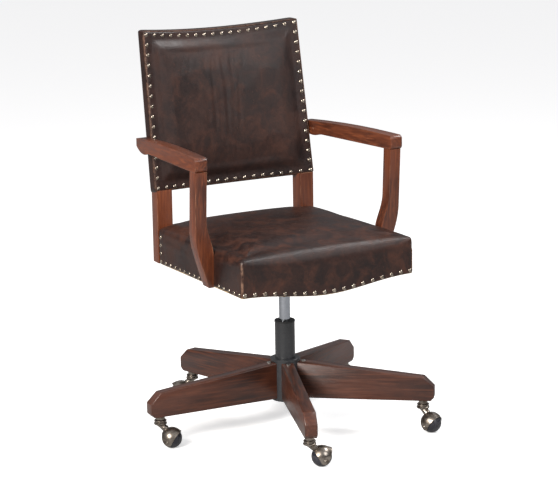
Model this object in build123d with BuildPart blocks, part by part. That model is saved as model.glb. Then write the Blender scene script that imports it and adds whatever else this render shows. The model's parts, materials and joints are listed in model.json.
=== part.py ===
from build123d import *
import math
import os

os.makedirs("parts", exist_ok=True)

# Swivel office chair. Millimetres, +Z up, the sitter faces -Y.
# The origin is on the swivel axis, at the floor.

# ---------------------------------------------------------------- driving sizes
# Fits
running_gap = 0.05          # radial clearance of a pin or shaft that turns or slides
seat_gap = 0.02             # clearance of a piece that is seated or glued in place
body_gap = 0.4              # clearance between pieces that move past each other
edge_break = 1.0            # small chamfer on metal edges
beyond = 5.0                # how far a cutting shape passes the face that it cuts
far = 2400.0                # longer than any piece, for a cutting shape with no end

# Five-leg base
leg_count = 5
first_leg_angle = -111.3
stem_circle_radius = 347.0
leg_thickness = 31.0
leg_bottom_z = 78.0
leg_root_top_z = 172.0
leg_tip_top_z = 139.0
leg_tip_overhang = 29.0     # from the caster stem to the end of the leg
leg_nose_length = 26.0      # length of the sloping facet at the tip
leg_nose_drop = 25.0
leg_toe_chamfer = 9.0
leg_edge_round = 2.5
hub_radius = 36.0
hub_bottom_z = 71.0
flange_radius = 37.5
flange_top_z = 180.0
flange_thickness = 6.0
fin_thickness = 6.0
fin_length = 56.0
fin_margin = 14.0           # wood left below the fin
leg_screw_radius = 2.0
leg_screw_head_radius = 5.5
leg_screw_head_height = 3.0
leg_screw_depth = 34.0
leg_screw_offset = 10.0     # from the hub to the screw
leg_screw_sink = 0.6

# Ball casters
ball_radius = 25.0
caster_trail = 30.0
hood_gap = 1.0
hood_wall = 2.0
hood_rim_rise = 4.0         # height of the hood's rim over the ball's centre
axle_tilt = 12.0
axle_radius = 3.0
rivet_radius = 4.5
rivet_height = 1.6
lobe_radius = 9.0
collar_radius = 16.0
collar_bottom_z = 57.5
collar_height = 12.0
neck_radius = 11.0
neck_half_thickness = 8.0   # of the arm from the collar to the hood
stem_radius = 5.5
stem_depth = 27.0
stem_pivot_radius = 4.0
socket_wall = 1.5
socket_end = 2.0            # socket's length past the stem
pivot_rivet_overhang = 2.0  # of the stem's riveted end
pivot_rivet_height = 1.6
socket_flange_radius = 10.0
socket_flange_thickness = 1.5
caster_headings = (-11.0, -80.0, 62.0, 150.0, -52.0)

# Gas lift
column_radius = 25.15
column_wall = 2.5
column_foot_radius = 23.4
column_bottom_z = 77.0
column_top_z = 272.0
floor_plate_thickness = 3.0
rod_hole_gap = 2.0
bush_lip_radius = 25.9
bush_lip_height = 5.0
bush_length = 60.0
cylinder_radius = 14.0
cylinder_wall = 2.0
cylinder_bottom_z = 196.0
cylinder_top_z = 392.0
cylinder_cap = 8.0
cylinder_floor = 3.0
release_pin_bore = 20.0
release_pin_length = 16.0   # of pin inside the cylinder's head
taper_length = 36.0
taper_top_radius = 13.0
rod_radius = 5.0
rod_top_z = 230.0
piston_height = 8.0
bearing_radius = 12.0
bearing_height = 6.0
bump_height = 12.0
bump_radius = 10.0
clip_radius = 9.0
clip_thickness = 2.0
clip_groove = 1.0           # depth of the rod's groove for the clip
clip_opening = 3.0
rod_end = 1.5               # rod left below the clip
shoulder_height = 2.0

# Tilting seat mechanism
housing_floor_z = 352.0
housing_wall = 3.0
housing_half_width = 38.0
housing_front_y = -62.0
housing_rear_y = 118.0
housing_top_z = 396.0
tilt_axis_y = -40.0
tilt_axis_z = 384.0
tilt_angle = 10.0
tilt_shaft_radius = 6.0
boss_radius = 19.0
plate_bottom_z = 404.0
plate_thickness = 3.0
plate_half_width = 72.0
plate_front_y = -78.0
plate_rear_y = 128.0
plate_hole_radius = 32.0
plate_screw_radius = 3.0
plate_screw_length = 16.0   # in the wood
plate_screw_head_radius = 6.0
plate_screw_head_height = 3.5
spring_y = 95.0
spring_radius = 10.0
spring_wire_radius = 1.2
spring_turns = 5
spring_plate_radius = 15.0
spring_plate_z = 361.0
spring_plate_thickness = 3.0
knob_radius = 17.0
knob_height = 24.0
knob_flute_radius = 3.0
knob_flutes = 8
screw_radius = 4.0
screw_top_z = 372.0
release_pin_radius = 2.0
release_pin_top_z = 395.4
lever_pivot_x = -30.0
lever_pivot_z = 384.0
lever_radius = 3.5
lever_end_x = -140.0
lever_grip_radius = 7.0
lever_grip_length = 52.0
lever_outer_z = 371.0

# Seat
seat_front_half_width = 242.0
seat_rear_half_width = 229.5
seat_front_y = -216.0
seat_back_y = 233.0
seat_bottom_z = 405.6
seat_side_height = 92.0
seat_crown = 20.0
seat_rear_inset = 6.0       # of the seat's rear edge from the posts' rear face
crown_slope = 62.0          # degrees from upright of the crown's edge
apron_dip = 21.0
cover_thickness = 2.0
rail_thickness = 22.0
rail_height = 64.0
cleat_width = 45.0
cleat_height = 24.0
cleat_centre_x = 62.0
corner_block_size = 60.0
corner_block_height = 32.0
corner_block_gap = 4.0      # below the rail's top
webbing_width = 50.0
webbing_thickness = 1.5
webbing_bands = 4
webbing_pitch = 95.0        # between the bands that run from front to rear
webbing_inset = 6.0         # from the leather to the bands' ends
dust_cover_thickness = 0.8
dust_cover_inset = 36.0
dust_cover_gap = 4.0        # round the seat plate

# Rear posts and back
post_width = 41.0
post_depth = 35.0
post_splay = 5.0
back_bottom_z = 590.0
back_top_z = 989.0
back_bottom_half_width = 231.5
back_top_half_width = 223.0
back_bottom_y = 233.0
back_top_y = 295.0
back_thickness = 31.0
back_curve = 27.5           # how far the middle is set back behind the corners
back_top_dip = 12.0
back_pad_thickness = 11.0
board_half_width = 184.0

# Arms
arm_front_y = -93.0
arm_rear_y = 284.0
arm_front_outer_x = 293.0
arm_back_gap = 0.02         # between the back's side and the arm's inner face
arm_front_width = 33.0
arm_rear_width = 28.5
arm_top_z = 729.0
arm_rear_drop = 6.0
arm_arch = 5.0
arm_height = 35.0
arm_nose_round = 9.0
arm_post_lean = 3.5         # degrees the post leans forward
arm_post_depth = 31.0
arm_post_front_y = -90.0
arm_post_outer_x = 290.0
arm_post_width = 30.0
foot_thickness = 13.0
foot_top_drop = 6.0         # of the bend's reference below the seat's top edge
foot_overhang = 1.0         # of the foot below the seat
inner_curve_low = 26.0      # start of the post's inner curve, below the seat's top edge
inner_curve_high = 86.0     # end of the inner curve, over that edge
inner_curve_step = 5.0
outer_curve_low = 22.0
outer_curve_high = 60.0
arm_screw_radius = 2.5
arm_screw_head_radius = 5.0
arm_screw_head_height = 3.0
arm_screw_start = 4.0       # from the rail's inner face to the screw's end
arm_screw_low = 20.0        # from the rail's lower edge
arm_screw_high = 14.0       # from the rail's upper edge
arm_screw_bite = 0.7        # share of the foot that the screw enters
arm_bolt_share = 0.8        # of the back's thickness, from its front to the arm's screw
arm_bolt_end = 12.0         # wood left past each end of that screw
arm_tail_length = 75.0      # length of the curve under the arm's rear end
arm_tail_height = 0.45      # of the arm's height, cut away under its rear end
arm_tail_sag = 2.0          # of the curve below the arm's straight underside

# Decorative nails
nail_radius = 5.6
nail_height = 3.2
nail_margin = 8.0           # from an edge to the row of nails
nail_lift = 0.03            # the nail's rim clears the curved leather
seat_front_nails = 18
seat_side_nails = 17
seat_corner_nails = 4       # extra nails up the side beside each rear post
back_row_nails = 18
back_side_nails = 14        # between the top and bottom rows

# ---------------------------------------------------------------- derived sizes
leg_angles = [first_leg_angle + 360.0 / leg_count * k for k in range(leg_count)]
leg_end_r = stem_circle_radius + leg_tip_overhang
nose_top_r = leg_end_r - leg_nose_length
nose_bottom_z = leg_tip_top_z - leg_nose_drop
leg_slope = (leg_root_top_z - leg_tip_top_z) / (nose_top_r - hub_radius)
flange_bottom_z = flange_top_z - flange_thickness
fin_end_r = hub_radius + fin_length
fin_bottom_z = leg_bottom_z + fin_margin
fin_top_z = leg_root_top_z - leg_slope * fin_length - fin_margin
leg_screw_r = hub_radius + leg_screw_offset
leg_screw_seat_z = leg_root_top_z - leg_slope * leg_screw_offset - leg_screw_sink

collar_top_z = collar_bottom_z + collar_height
neck_bottom_z = collar_top_z + body_gap
socket_radius = stem_radius + running_gap + socket_wall
socket_bottom_z = leg_bottom_z - socket_flange_thickness
stem_top_z = leg_bottom_z + stem_depth
hood_inner_radius = ball_radius + hood_gap
hood_outer_radius = hood_inner_radius + hood_wall

column_inner_radius = column_radius - column_wall
floor_plate_top_z = column_bottom_z + floor_plate_thickness
rod_shoulder_z = floor_plate_top_z + bearing_height + body_gap / 4
bump_bottom_z = rod_shoulder_z + shoulder_height
cylinder_inner_radius = cylinder_radius - cylinder_wall
plate_top_z = plate_bottom_z + plate_thickness
shaft_half_length = housing_half_width + 8.0

seat_top_z = seat_bottom_z + seat_side_height
rail_top_z = seat_bottom_z + rail_height
apron_low_z = seat_bottom_z - apron_dip
seat_splay = math.atan2(seat_front_half_width - seat_rear_half_width, seat_back_y - seat_front_y)

rake = math.atan2(back_top_y - back_bottom_y, back_top_z - back_bottom_z)
back_length = (back_top_z - back_bottom_z) / math.cos(rake)
foot_inner_top_z = seat_top_z - foot_top_drop


def up(z):
    """The horizontal plane at a height."""
    return Plane.XY.offset(z)


def frame_at(angle, radius=0.0):
    """A plane on the swivel axis or at a radius, turned so that its X points outwards."""
    a = math.radians(angle)
    return Plane(
        origin=(radius * math.cos(a), radius * math.sin(a), 0),
        x_dir=(math.cos(a), math.sin(a), 0),
        z_dir=(0, 0, 1),
    )


def upright(plane):
    """The upright plane through another plane's X axis and Z axis."""
    return Plane(origin=plane.origin, x_dir=plane.x_dir, z_dir=-plane.y_dir)


def save(builder, name):
    """Label a finished piece and write it."""
    builder.part.label = name
    export_step(builder.part, f"parts/{name}.step")


def ring(inner_radius, outer_radius, low_z, high_z):
    """An upright tube on the swivel axis."""
    with BuildPart() as tube:
        with BuildSketch(up(low_z)):
            Circle(outer_radius)
            if inner_radius > 0:
                Circle(inner_radius, mode=Mode.SUBTRACT)
        extrude(amount=high_z - low_z)
    return tube.part


# ---------------------------------------------------------------- gas lift tube
def column_outline(shrink, low_z, high_z):
    """Half section of the tapered tube, from the axis to its outside."""
    slope = (column_radius - column_foot_radius) / (flange_top_z - column_bottom_z)
    foot = column_radius - slope * (flange_top_z - low_z)
    with BuildSketch(Plane.XZ) as section:
        with BuildLine():
            Polyline(
                (0, low_z),
                (foot - shrink, low_z),
                (column_radius - shrink, flange_top_z),
                (column_radius - shrink, high_z),
                (0, high_z),
                close=True,
            )
        make_face()
    return section.sketch


with BuildPart() as outer_column:
    revolve(column_outline(0, column_bottom_z, column_top_z), axis=Axis.Z)
    revolve(
        column_outline(column_wall, floor_plate_top_z, column_top_z + beyond),
        axis=Axis.Z,
        mode=Mode.SUBTRACT,
    )
    with Locations((0, 0, column_bottom_z)):
        Cylinder(rod_radius + rod_hole_gap, 4 * floor_plate_thickness, mode=Mode.SUBTRACT)
save(outer_column, "outer_column")

with BuildPart() as column_bush:
    bore_radius = cylinder_radius + running_gap
    add(ring(bore_radius, column_inner_radius - seat_gap, column_top_z - bush_length, column_top_z))
    add(ring(bore_radius, bush_lip_radius, column_top_z, column_top_z + bush_lip_height))
    top_rims = column_bush.edges().filter_by(GeomType.CIRCLE).sort_by(Axis.Z)[-2:]
    chamfer(top_rims.sort_by(SortBy.RADIUS)[-1], edge_break)
save(column_bush, "column_bush")

with BuildPart() as thrust_bearing:
    bearing_top_z = floor_plate_top_z + bearing_height
    add(ring(rod_radius + running_gap, bearing_radius, floor_plate_top_z, bearing_top_z))
    with BuildSketch(Plane.XZ):
        with Locations((bearing_radius, floor_plate_top_z + bearing_height / 2)):
            Rectangle(bearing_height / 2, bearing_height / 5)
    revolve(axis=Axis.Z, mode=Mode.SUBTRACT)
save(thrust_bearing, "thrust_bearing")

clip_top_z = column_bottom_z - body_gap
rod_bottom_z = clip_top_z - clip_thickness - rod_end
with BuildPart() as piston_rod:
    with BuildSketch(Plane.XZ):
        with BuildLine():
            Polyline(
                (0, rod_bottom_z),
                (rod_radius, rod_bottom_z),
                (rod_radius, clip_top_z - clip_thickness),
                (rod_radius - clip_groove, clip_top_z - clip_thickness),
                (rod_radius - clip_groove, clip_top_z),
                (rod_radius, clip_top_z),
                (rod_radius, rod_shoulder_z),
                (bearing_radius - 1.0, rod_shoulder_z),
                (bearing_radius - 1.0, bump_bottom_z),
                (rod_radius, bump_bottom_z),
                (rod_radius, rod_top_z - piston_height),
                (cylinder_inner_radius - running_gap, rod_top_z - piston_height),
                (cylinder_inner_radius - running_gap, rod_top_z),
                (0, rod_top_z),
                close=True,
            )
        make_face()
    revolve(axis=Axis.Z)
save(piston_rod, "piston_rod")

with BuildPart() as retaining_clip:
    add(ring(rod_radius - clip_groove + seat_gap, clip_radius, clip_top_z - clip_thickness, clip_top_z))
    with Locations((clip_radius, 0, clip_top_z - clip_thickness / 2)):
        Box(clip_radius * 2, clip_opening, clip_thickness * 2, mode=Mode.SUBTRACT)
save(retaining_clip, "retaining_clip")

with BuildPart() as bump_rubber:
    add(ring(rod_radius + seat_gap, bump_radius, bump_bottom_z, bump_bottom_z + bump_height))
    top_rims = bump_rubber.edges().filter_by(GeomType.CIRCLE).sort_by(Axis.Z)[-2:]
    fillet(top_rims.sort_by(SortBy.RADIUS)[-1], 2 * edge_break)
save(bump_rubber, "bump_rubber")


def cylinder_outline(shrink, low_z, high_z):
    """Half section of the lift cylinder with its tapered head."""
    slope = (cylinder_radius - taper_top_radius) / taper_length
    top = taper_top_radius + slope * (cylinder_top_z - high_z)
    with BuildSketch(Plane.XZ) as section:
        with BuildLine():
            Polyline(
                (0, low_z),
                (cylinder_radius - shrink, low_z),
                (cylinder_radius - shrink, cylinder_top_z - taper_length),
                (top - shrink, high_z),
                (0, high_z),
                close=True,
            )
        make_face()
    return section.sketch


with BuildPart() as gas_cylinder:
    revolve(cylinder_outline(0, cylinder_bottom_z, cylinder_top_z), axis=Axis.Z)
    add(
        ring(
            0,
            cylinder_inner_radius,
            cylinder_bottom_z + cylinder_floor,
            cylinder_top_z - taper_length - cylinder_cap,
        ),
        mode=Mode.SUBTRACT,
    )
    with Locations((0, 0, cylinder_bottom_z)):
        Cylinder(rod_radius + running_gap, 4 * cylinder_floor, mode=Mode.SUBTRACT)
    with Locations((0, 0, cylinder_top_z)):
        Cylinder(release_pin_radius + running_gap, 2 * release_pin_bore, mode=Mode.SUBTRACT)
save(gas_cylinder, "gas_cylinder")

with BuildPart() as release_pin:
    with BuildSketch(up(cylinder_top_z - release_pin_length)):
        Circle(release_pin_radius)
    extrude(amount=release_pin_top_z - cylinder_top_z + release_pin_length)
save(release_pin, "release_pin")

# ---------------------------------------------------------------- base
with BuildPart() as hub:
    add(ring(0, hub_radius, hub_bottom_z, flange_bottom_z))
    add(ring(0, flange_radius, flange_bottom_z, flange_top_z))
    fillet(hub.edges().filter_by(GeomType.CIRCLE).sort_by(Axis.Z)[0], 3 * edge_break)
    chamfer(hub.edges().filter_by(GeomType.CIRCLE).sort_by(Axis.Z)[-1], edge_break)
    for angle in leg_angles:
        with BuildSketch(upright(frame_at(angle))):
            with BuildLine():
                Polyline(
                    (hub_radius - fin_thickness / 2, fin_bottom_z),
                    (fin_end_r, fin_bottom_z),
                    (fin_end_r, fin_top_z),
                    (hub_radius - fin_thickness / 2, fin_top_z),
                    close=True,
                )
            make_face()
        extrude(amount=fin_thickness / 2, both=True)
    revolve(
        column_outline(-seat_gap, hub_bottom_z - beyond, flange_top_z + beyond),
        axis=Axis.Z,
        mode=Mode.SUBTRACT,
    )
    for angle in leg_angles:
        with Locations(frame_at(angle, leg_screw_r).offset(leg_screw_seat_z)):
            Cylinder(leg_screw_radius + running_gap, 2 * (leg_screw_depth + beyond), mode=Mode.SUBTRACT)
save(hub, "hub")

for k, angle in enumerate(leg_angles):
    here = frame_at(angle)
    with BuildPart() as leg:
        with BuildSketch(upright(here)):
            with BuildLine():
                Polyline(
                    (0, leg_bottom_z),
                    (leg_end_r - leg_toe_chamfer, leg_bottom_z),
                    (leg_end_r, leg_bottom_z + leg_toe_chamfer),
                    (leg_end_r, nose_bottom_z),
                    (nose_top_r, leg_tip_top_z),
                    (hub_radius, leg_root_top_z),
                    (0, leg_root_top_z),
                    close=True,
                )
            make_face()
        extrude(amount=leg_thickness / 2, both=True)
        rim = [e for face in leg.faces().sort_by(SortBy.AREA)[-2:] for e in face.edges()]
        outer_rim = [e for e in rim if (e.center() - here.origin).dot(here.x_dir) > leg_edge_round]
        fillet(outer_rim, leg_edge_round)
        # The root is hollowed to sit against the round hub.
        add(
            ring(0, hub_radius + seat_gap, leg_bottom_z - beyond, leg_root_top_z + beyond),
            mode=Mode.SUBTRACT,
        )
        # Slot for the hub's fin
        with BuildSketch(upright(here)):
            with BuildLine():
                Polyline(
                    (hub_radius - beyond, fin_bottom_z - seat_gap),
                    (fin_end_r + seat_gap, fin_bottom_z - seat_gap),
                    (fin_end_r + seat_gap, fin_top_z + seat_gap),
                    (hub_radius - beyond, fin_top_z + seat_gap),
                    close=True,
                )
            make_face()
        extrude(amount=fin_thickness / 2 + seat_gap, both=True, mode=Mode.SUBTRACT)
        with Locations(frame_at(angle, leg_screw_r).offset(leg_screw_seat_z)):
            Cylinder(leg_screw_radius + running_gap, 2 * (leg_screw_depth + beyond), mode=Mode.SUBTRACT)
        with Locations(frame_at(angle, leg_screw_r).offset(leg_screw_seat_z + beyond)):
            Cylinder(leg_screw_head_radius + running_gap, 2 * beyond, mode=Mode.SUBTRACT)
        # Blind hole for the caster socket
        with Locations(frame_at(angle, stem_circle_radius).offset(leg_bottom_z)):
            Cylinder(socket_radius + seat_gap, 2 * (stem_depth + socket_end + edge_break), mode=Mode.SUBTRACT)
    save(leg, f"leg_{k + 1}")

with BuildPart() as leg_screws:
    for angle in leg_angles:
        seat = frame_at(angle, leg_screw_r).offset(leg_screw_seat_z)
        with BuildSketch(seat):
            Circle(leg_screw_head_radius)
        extrude(amount=leg_screw_head_height)
        with BuildSketch(seat):
            Circle(leg_screw_radius)
        extrude(amount=-leg_screw_depth)
    fillet(leg_screws.edges().filter_by(GeomType.CIRCLE).group_by(Axis.Z)[-1], leg_screw_head_height * 0.6)
save(leg_screws, "leg_screws")

with BuildPart() as caster_sockets:
    for angle in leg_angles:
        here = frame_at(angle, stem_circle_radius)
        with BuildSketch(here.offset(socket_bottom_z)):
            Circle(socket_flange_radius)
        extrude(amount=socket_flange_thickness)
        with BuildSketch(here.offset(leg_bottom_z)):
            Circle(socket_radius)
        extrude(amount=stem_depth + socket_end)
        with Locations(here.offset(socket_bottom_z)):
            Cylinder(stem_radius + running_gap, 2 * (stem_top_z - socket_bottom_z + edge_break), mode=Mode.SUBTRACT)
save(caster_sockets, "caster_sockets")

with BuildPart() as caster_stems:
    for angle in leg_angles:
        here = frame_at(angle, stem_circle_radius)
        with BuildSketch(here.offset(collar_bottom_z - pivot_rivet_height)):
            Circle(stem_pivot_radius + pivot_rivet_overhang)
        extrude(amount=pivot_rivet_height - body_gap / 2)
        with BuildSketch(here.offset(collar_bottom_z - pivot_rivet_height)):
            Circle(stem_pivot_radius)
        extrude(amount=neck_bottom_z - collar_bottom_z + pivot_rivet_height)
        with BuildSketch(here.offset(neck_bottom_z)):
            Circle(neck_radius)
        extrude(amount=socket_bottom_z - neck_bottom_z)
        with BuildSketch(here.offset(socket_bottom_z)):
            Circle(stem_radius)
        extrude(amount=stem_top_z - socket_bottom_z)
save(caster_stems, "caster_stems")


def caster_frame(k):
    """A plane at a caster's stem, its X pointing from the stem to the ball."""
    a = math.radians(leg_angles[k])
    h = math.radians(caster_headings[k])
    return Plane(
        origin=(stem_circle_radius * math.cos(a), stem_circle_radius * math.sin(a), 0),
        x_dir=(math.cos(h), math.sin(h), 0),
        z_dir=(0, 0, 1),
    )


def axle_plane(frame):
    """A plane at the ball's centre whose Z runs along the tilted axle, towards its rivet."""
    t = math.radians(axle_tilt)
    centre = frame.origin + frame.x_dir * caster_trail + Vector(0, 0, ball_radius)
    along = frame.y_dir * -math.cos(t) + Vector(0, 0, -math.sin(t))
    return Plane(origin=centre, x_dir=frame.x_dir, z_dir=along)


for k in range(leg_count):
    here = caster_frame(k)
    axle = axle_plane(here)
    with BuildPart() as hood:
        with Locations(Location(axle.origin)):
            Sphere(hood_outer_radius)
        # The rim is level, and a round lobe hangs down at each end of the axle.
        with Locations(Location(axle.origin - Vector(0, 0, 2 * ball_radius - hood_rim_rise))):
            Box(4 * ball_radius, 4 * ball_radius, 4 * ball_radius, mode=Mode.SUBTRACT)
        with BuildPart(mode=Mode.PRIVATE) as lobes:
            with Locations(Location(axle.origin)):
                Sphere(hood_outer_radius)
            with Locations(axle.location):
                Cylinder(lobe_radius, 3 * ball_radius, mode=Mode.INTERSECT)
        add(lobes.part)
        # Arm from the collar to the hood
        with BuildSketch(upright(here)):
            with BuildLine():
                Polyline(
                    (-collar_radius + 5.0, collar_bottom_z),
                    (caster_trail - hood_outer_radius, ball_radius + 22.0),
                    (caster_trail - ball_radius, ball_radius + 12.0),
                    (caster_trail, ball_radius + 12.0),
                    (caster_trail, ball_radius + hood_outer_radius - hood_wall / 2),
                    (collar_radius - 2.0, collar_top_z - collar_height / 3),
                    (-collar_radius + 5.0, collar_top_z - collar_height / 3),
                    close=True,
                )
            make_face()
        extrude(amount=neck_half_thickness, both=True)
        with BuildSketch(here.offset(collar_bottom_z)):
            Circle(collar_radius)
        extrude(amount=collar_height)
        with Locations(Location(axle.origin)):
            Sphere(hood_inner_radius, mode=Mode.SUBTRACT)
        with Locations(axle.location):
            Cylinder(axle_radius + seat_gap, 4 * ball_radius, mode=Mode.SUBTRACT)
        with Locations(here.offset(collar_bottom_z)):
            Cylinder(stem_pivot_radius + running_gap, 4 * collar_height, mode=Mode.SUBTRACT)
        with Locations(here.offset(collar_bottom_z - 2 * beyond)):
            Cylinder(stem_pivot_radius + pivot_rivet_overhang + edge_break, 4 * beyond, mode=Mode.SUBTRACT)
    save(hood, f"caster_hood_{k + 1}")

    with BuildPart() as ball:
        with Locations(Location(axle.origin)):
            Sphere(ball_radius)
        with Locations(axle.location):
            Cylinder(axle_radius + running_gap, 3 * ball_radius, mode=Mode.SUBTRACT)
    save(ball, f"caster_ball_{k + 1}")

    with BuildPart() as pin:
        with BuildSketch(axle.offset(-hood_outer_radius)):
            Circle(axle_radius)
        extrude(amount=2 * hood_outer_radius)
        for side in (-1, 1):
            with BuildSketch(axle.offset(side * hood_outer_radius)):
                Circle(rivet_radius)
            extrude(amount=side * rivet_height)
    save(pin, f"caster_axle_{k + 1}")

# ---------------------------------------------------------------- mechanism
with BuildPart() as mechanism_housing:
    with BuildSketch(up(housing_floor_z)):
        with Locations((0, (housing_front_y + housing_rear_y) / 2)):
            Rectangle(2 * housing_half_width, housing_rear_y - housing_front_y)
    extrude(amount=housing_wall)
    slope_start = tilt_axis_y + 14.0
    rear_top_z = plate_bottom_z - math.tan(math.radians(tilt_angle)) * (housing_rear_y - tilt_axis_y) - 4.0
    for side in (-1, 1):
        with BuildSketch(Plane.YZ.offset(side * housing_half_width)):
            with BuildLine():
                Polyline(
                    (housing_front_y, housing_floor_z),
                    (housing_rear_y, housing_floor_z),
                    (housing_rear_y, rear_top_z),
                    (slope_start, housing_top_z - 2.0),
                    (tilt_axis_y - 12.0, housing_top_z - 2.0),
                    (housing_front_y, housing_top_z - 14.0),
                    close=True,
                )
            make_face()
        extrude(amount=-side * housing_wall)
    add(ring(0, boss_radius, housing_floor_z - 2.0, cylinder_top_z - 2.0))
    revolve(cylinder_outline(-seat_gap, housing_floor_z - 20, cylinder_top_z), axis=Axis.Z, mode=Mode.SUBTRACT)
    with Locations(Plane.YZ.location * Location((tilt_axis_y, tilt_axis_z, 0))):
        Cylinder(tilt_shaft_radius + seat_gap, 4 * housing_half_width, mode=Mode.SUBTRACT)
    # Clearance hole for the tension screw
    with Locations((0, spring_y, housing_floor_z)):
        Cylinder(screw_radius + running_gap, 20, mode=Mode.SUBTRACT)
    # Slot in the side wall for the lever
    with Locations((-housing_half_width, 0, lever_outer_z + 6.0)):
        Box(12, 14, 26, mode=Mode.SUBTRACT)
    # Lugs and pivot for the lever
    with BuildSketch(Plane.XZ.offset(-12.0)):
        with Locations((lever_pivot_x, lever_pivot_z)):
            Circle(2.5)
    extrude(amount=24.0)
    for y in (-10.0, 10.0):
        with BuildSketch(Plane.XZ.offset(-y - 2.0)):
            with Locations((lever_pivot_x - 2.0, lever_pivot_z - 12.0)):
                Rectangle(13.0, 2 * 16.5)
        extrude(amount=4.0)
save(mechanism_housing, "mechanism_housing")

with BuildPart() as tilt_shaft:
    with BuildSketch(Plane.YZ.offset(-shaft_half_length)):
        with Locations((tilt_axis_y, tilt_axis_z)):
            Circle(tilt_shaft_radius)
    extrude(amount=2 * shaft_half_length)
    chamfer(tilt_shaft.edges().filter_by(GeomType.CIRCLE), 0.8)
save(tilt_shaft, "tilt_shaft")

ear_inner_x = housing_half_width + body_gap
with BuildPart() as seat_plate:
    with BuildSketch(up(plate_bottom_z)):
        with Locations((0, (plate_front_y + plate_rear_y) / 2)):
            RectangleRounded(2 * plate_half_width, plate_rear_y - plate_front_y, 10)
        Circle(plate_hole_radius, mode=Mode.SUBTRACT)
    extrude(amount=plate_thickness)
    for side in (-1, 1):
        with BuildSketch(Plane.YZ.offset(side * ear_inner_x)):
            with Locations((tilt_axis_y, (tilt_axis_z + plate_bottom_z) / 2)):
                Rectangle(26, plate_bottom_z - tilt_axis_z + 0.02)
            with Locations((tilt_axis_y, tilt_axis_z)):
                Circle(13)
        extrude(amount=side * 3.0)
    with Locations(Plane.YZ.location * Location((tilt_axis_y, tilt_axis_z, 0))):
        Cylinder(tilt_shaft_radius + running_gap, 4 * housing_half_width, mode=Mode.SUBTRACT)
    plate_screw_spots = [
        (sx * cleat_centre_x, y) for sx in (-1, 1) for y in (plate_front_y + 14, plate_rear_y - 14)
    ]
    with Locations([(x, y, plate_bottom_z) for x, y in plate_screw_spots]):
        Cylinder(3.2, 20, mode=Mode.SUBTRACT)
save(seat_plate, "seat_plate")

spring_low_z = spring_plate_z + spring_plate_thickness + 0.05
spring_height = plate_bottom_z - spring_low_z - 0.05
spring_pitch = (spring_height - 2 * spring_wire_radius) / spring_turns
with BuildPart() as tension_spring:
    with BuildLine() as coil_path:
        Helix(
            pitch=spring_pitch,
            height=spring_pitch * spring_turns,
            radius=spring_radius,
            center=(0, spring_y, spring_low_z + spring_wire_radius),
        )
    with BuildSketch(Plane(origin=coil_path.line @ 0, z_dir=coil_path.line % 0)):
        Circle(spring_wire_radius)
    sweep(path=coil_path.line, is_frenet=True)
save(tension_spring, "tension_spring")

with BuildPart() as spring_plate:
    with BuildSketch(up(spring_plate_z)):
        with Locations((0, spring_y)):
            Circle(spring_plate_radius)
            Circle(screw_radius + running_gap, mode=Mode.SUBTRACT)
    extrude(amount=spring_plate_thickness)
save(spring_plate, "spring_plate")

knob_top_z = housing_floor_z - 3.0
with BuildPart() as tension_knob:
    with BuildSketch(up(knob_top_z - knob_height)):
        with Locations((0, spring_y)):
            Circle(knob_radius)
            with PolarLocations(knob_radius + 1.0, knob_flutes):
                Circle(knob_flute_radius, mode=Mode.SUBTRACT)
    extrude(amount=knob_height)
    chamfer(tension_knob.edges().group_by(Axis.Z)[0], 1.2)
    with BuildSketch(up(knob_top_z)):
        with Locations((0, spring_y)):
            Circle(screw_radius)
    extrude(amount=screw_top_z - knob_top_z)
save(tension_knob, "tension_knob")

# Height lever: a bent strip that sits on the pin and leaves through the housing's side.
with BuildPart() as height_lever:
    with BuildSketch(Plane.XZ):
        with BuildLine():
            Polyline(
                (4.0, release_pin_top_z + 0.4),
                (4.0, release_pin_top_z + 4.4),
                (lever_pivot_x + 6.0, release_pin_top_z + 4.4),
                (lever_pivot_x - 5.0, lever_pivot_z + 2.0),
                (lever_pivot_x - 5.0, lever_outer_z + lever_radius),
                (lever_pivot_x - 16.0, lever_outer_z + lever_radius),
                (lever_pivot_x - 16.0, lever_outer_z - lever_radius),
                (lever_pivot_x + 5.0, lever_outer_z - lever_radius),
                (lever_pivot_x + 5.0, lever_pivot_z + 2.0),
                (lever_pivot_x + 9.0, release_pin_top_z + 0.4),
                close=True,
            )
        make_face()
    extrude(amount=4.0, both=True)
    with BuildSketch(Plane.YZ.offset(lever_end_x)):
        with Locations((0, lever_outer_z)):
            Circle(lever_radius)
    extrude(amount=lever_pivot_x - 10.0 - lever_end_x)
    with Locations(Plane.XZ.location * Location((lever_pivot_x, lever_pivot_z, 0))):
        Cylinder(2.5 + running_gap, 30, mode=Mode.SUBTRACT)
save(height_lever, "height_lever")

with BuildPart() as lever_grip:
    with BuildSketch(Plane.YZ.offset(lever_end_x - 3.0)):
        with Locations((0, lever_outer_z)):
            Ellipse(lever_grip_radius + 3, lever_grip_radius)
    extrude(amount=lever_grip_length)
    fillet(lever_grip.edges(), 2.5)
    with BuildSketch(Plane.YZ.offset(lever_end_x - seat_gap)):
        with Locations((0, lever_outer_z)):
            Circle(lever_radius + seat_gap)
    extrude(amount=2 * lever_grip_length, mode=Mode.SUBTRACT)
save(lever_grip, "lever_grip")


# ---------------------------------------------------------------- rear posts and back
def side_x(y, inset=0.0):
    """Half width of the seat block at a depth."""
    share = (y - seat_front_y) / (seat_back_y - seat_front_y)
    return seat_front_half_width + (seat_rear_half_width - seat_front_half_width) * share - inset


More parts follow.
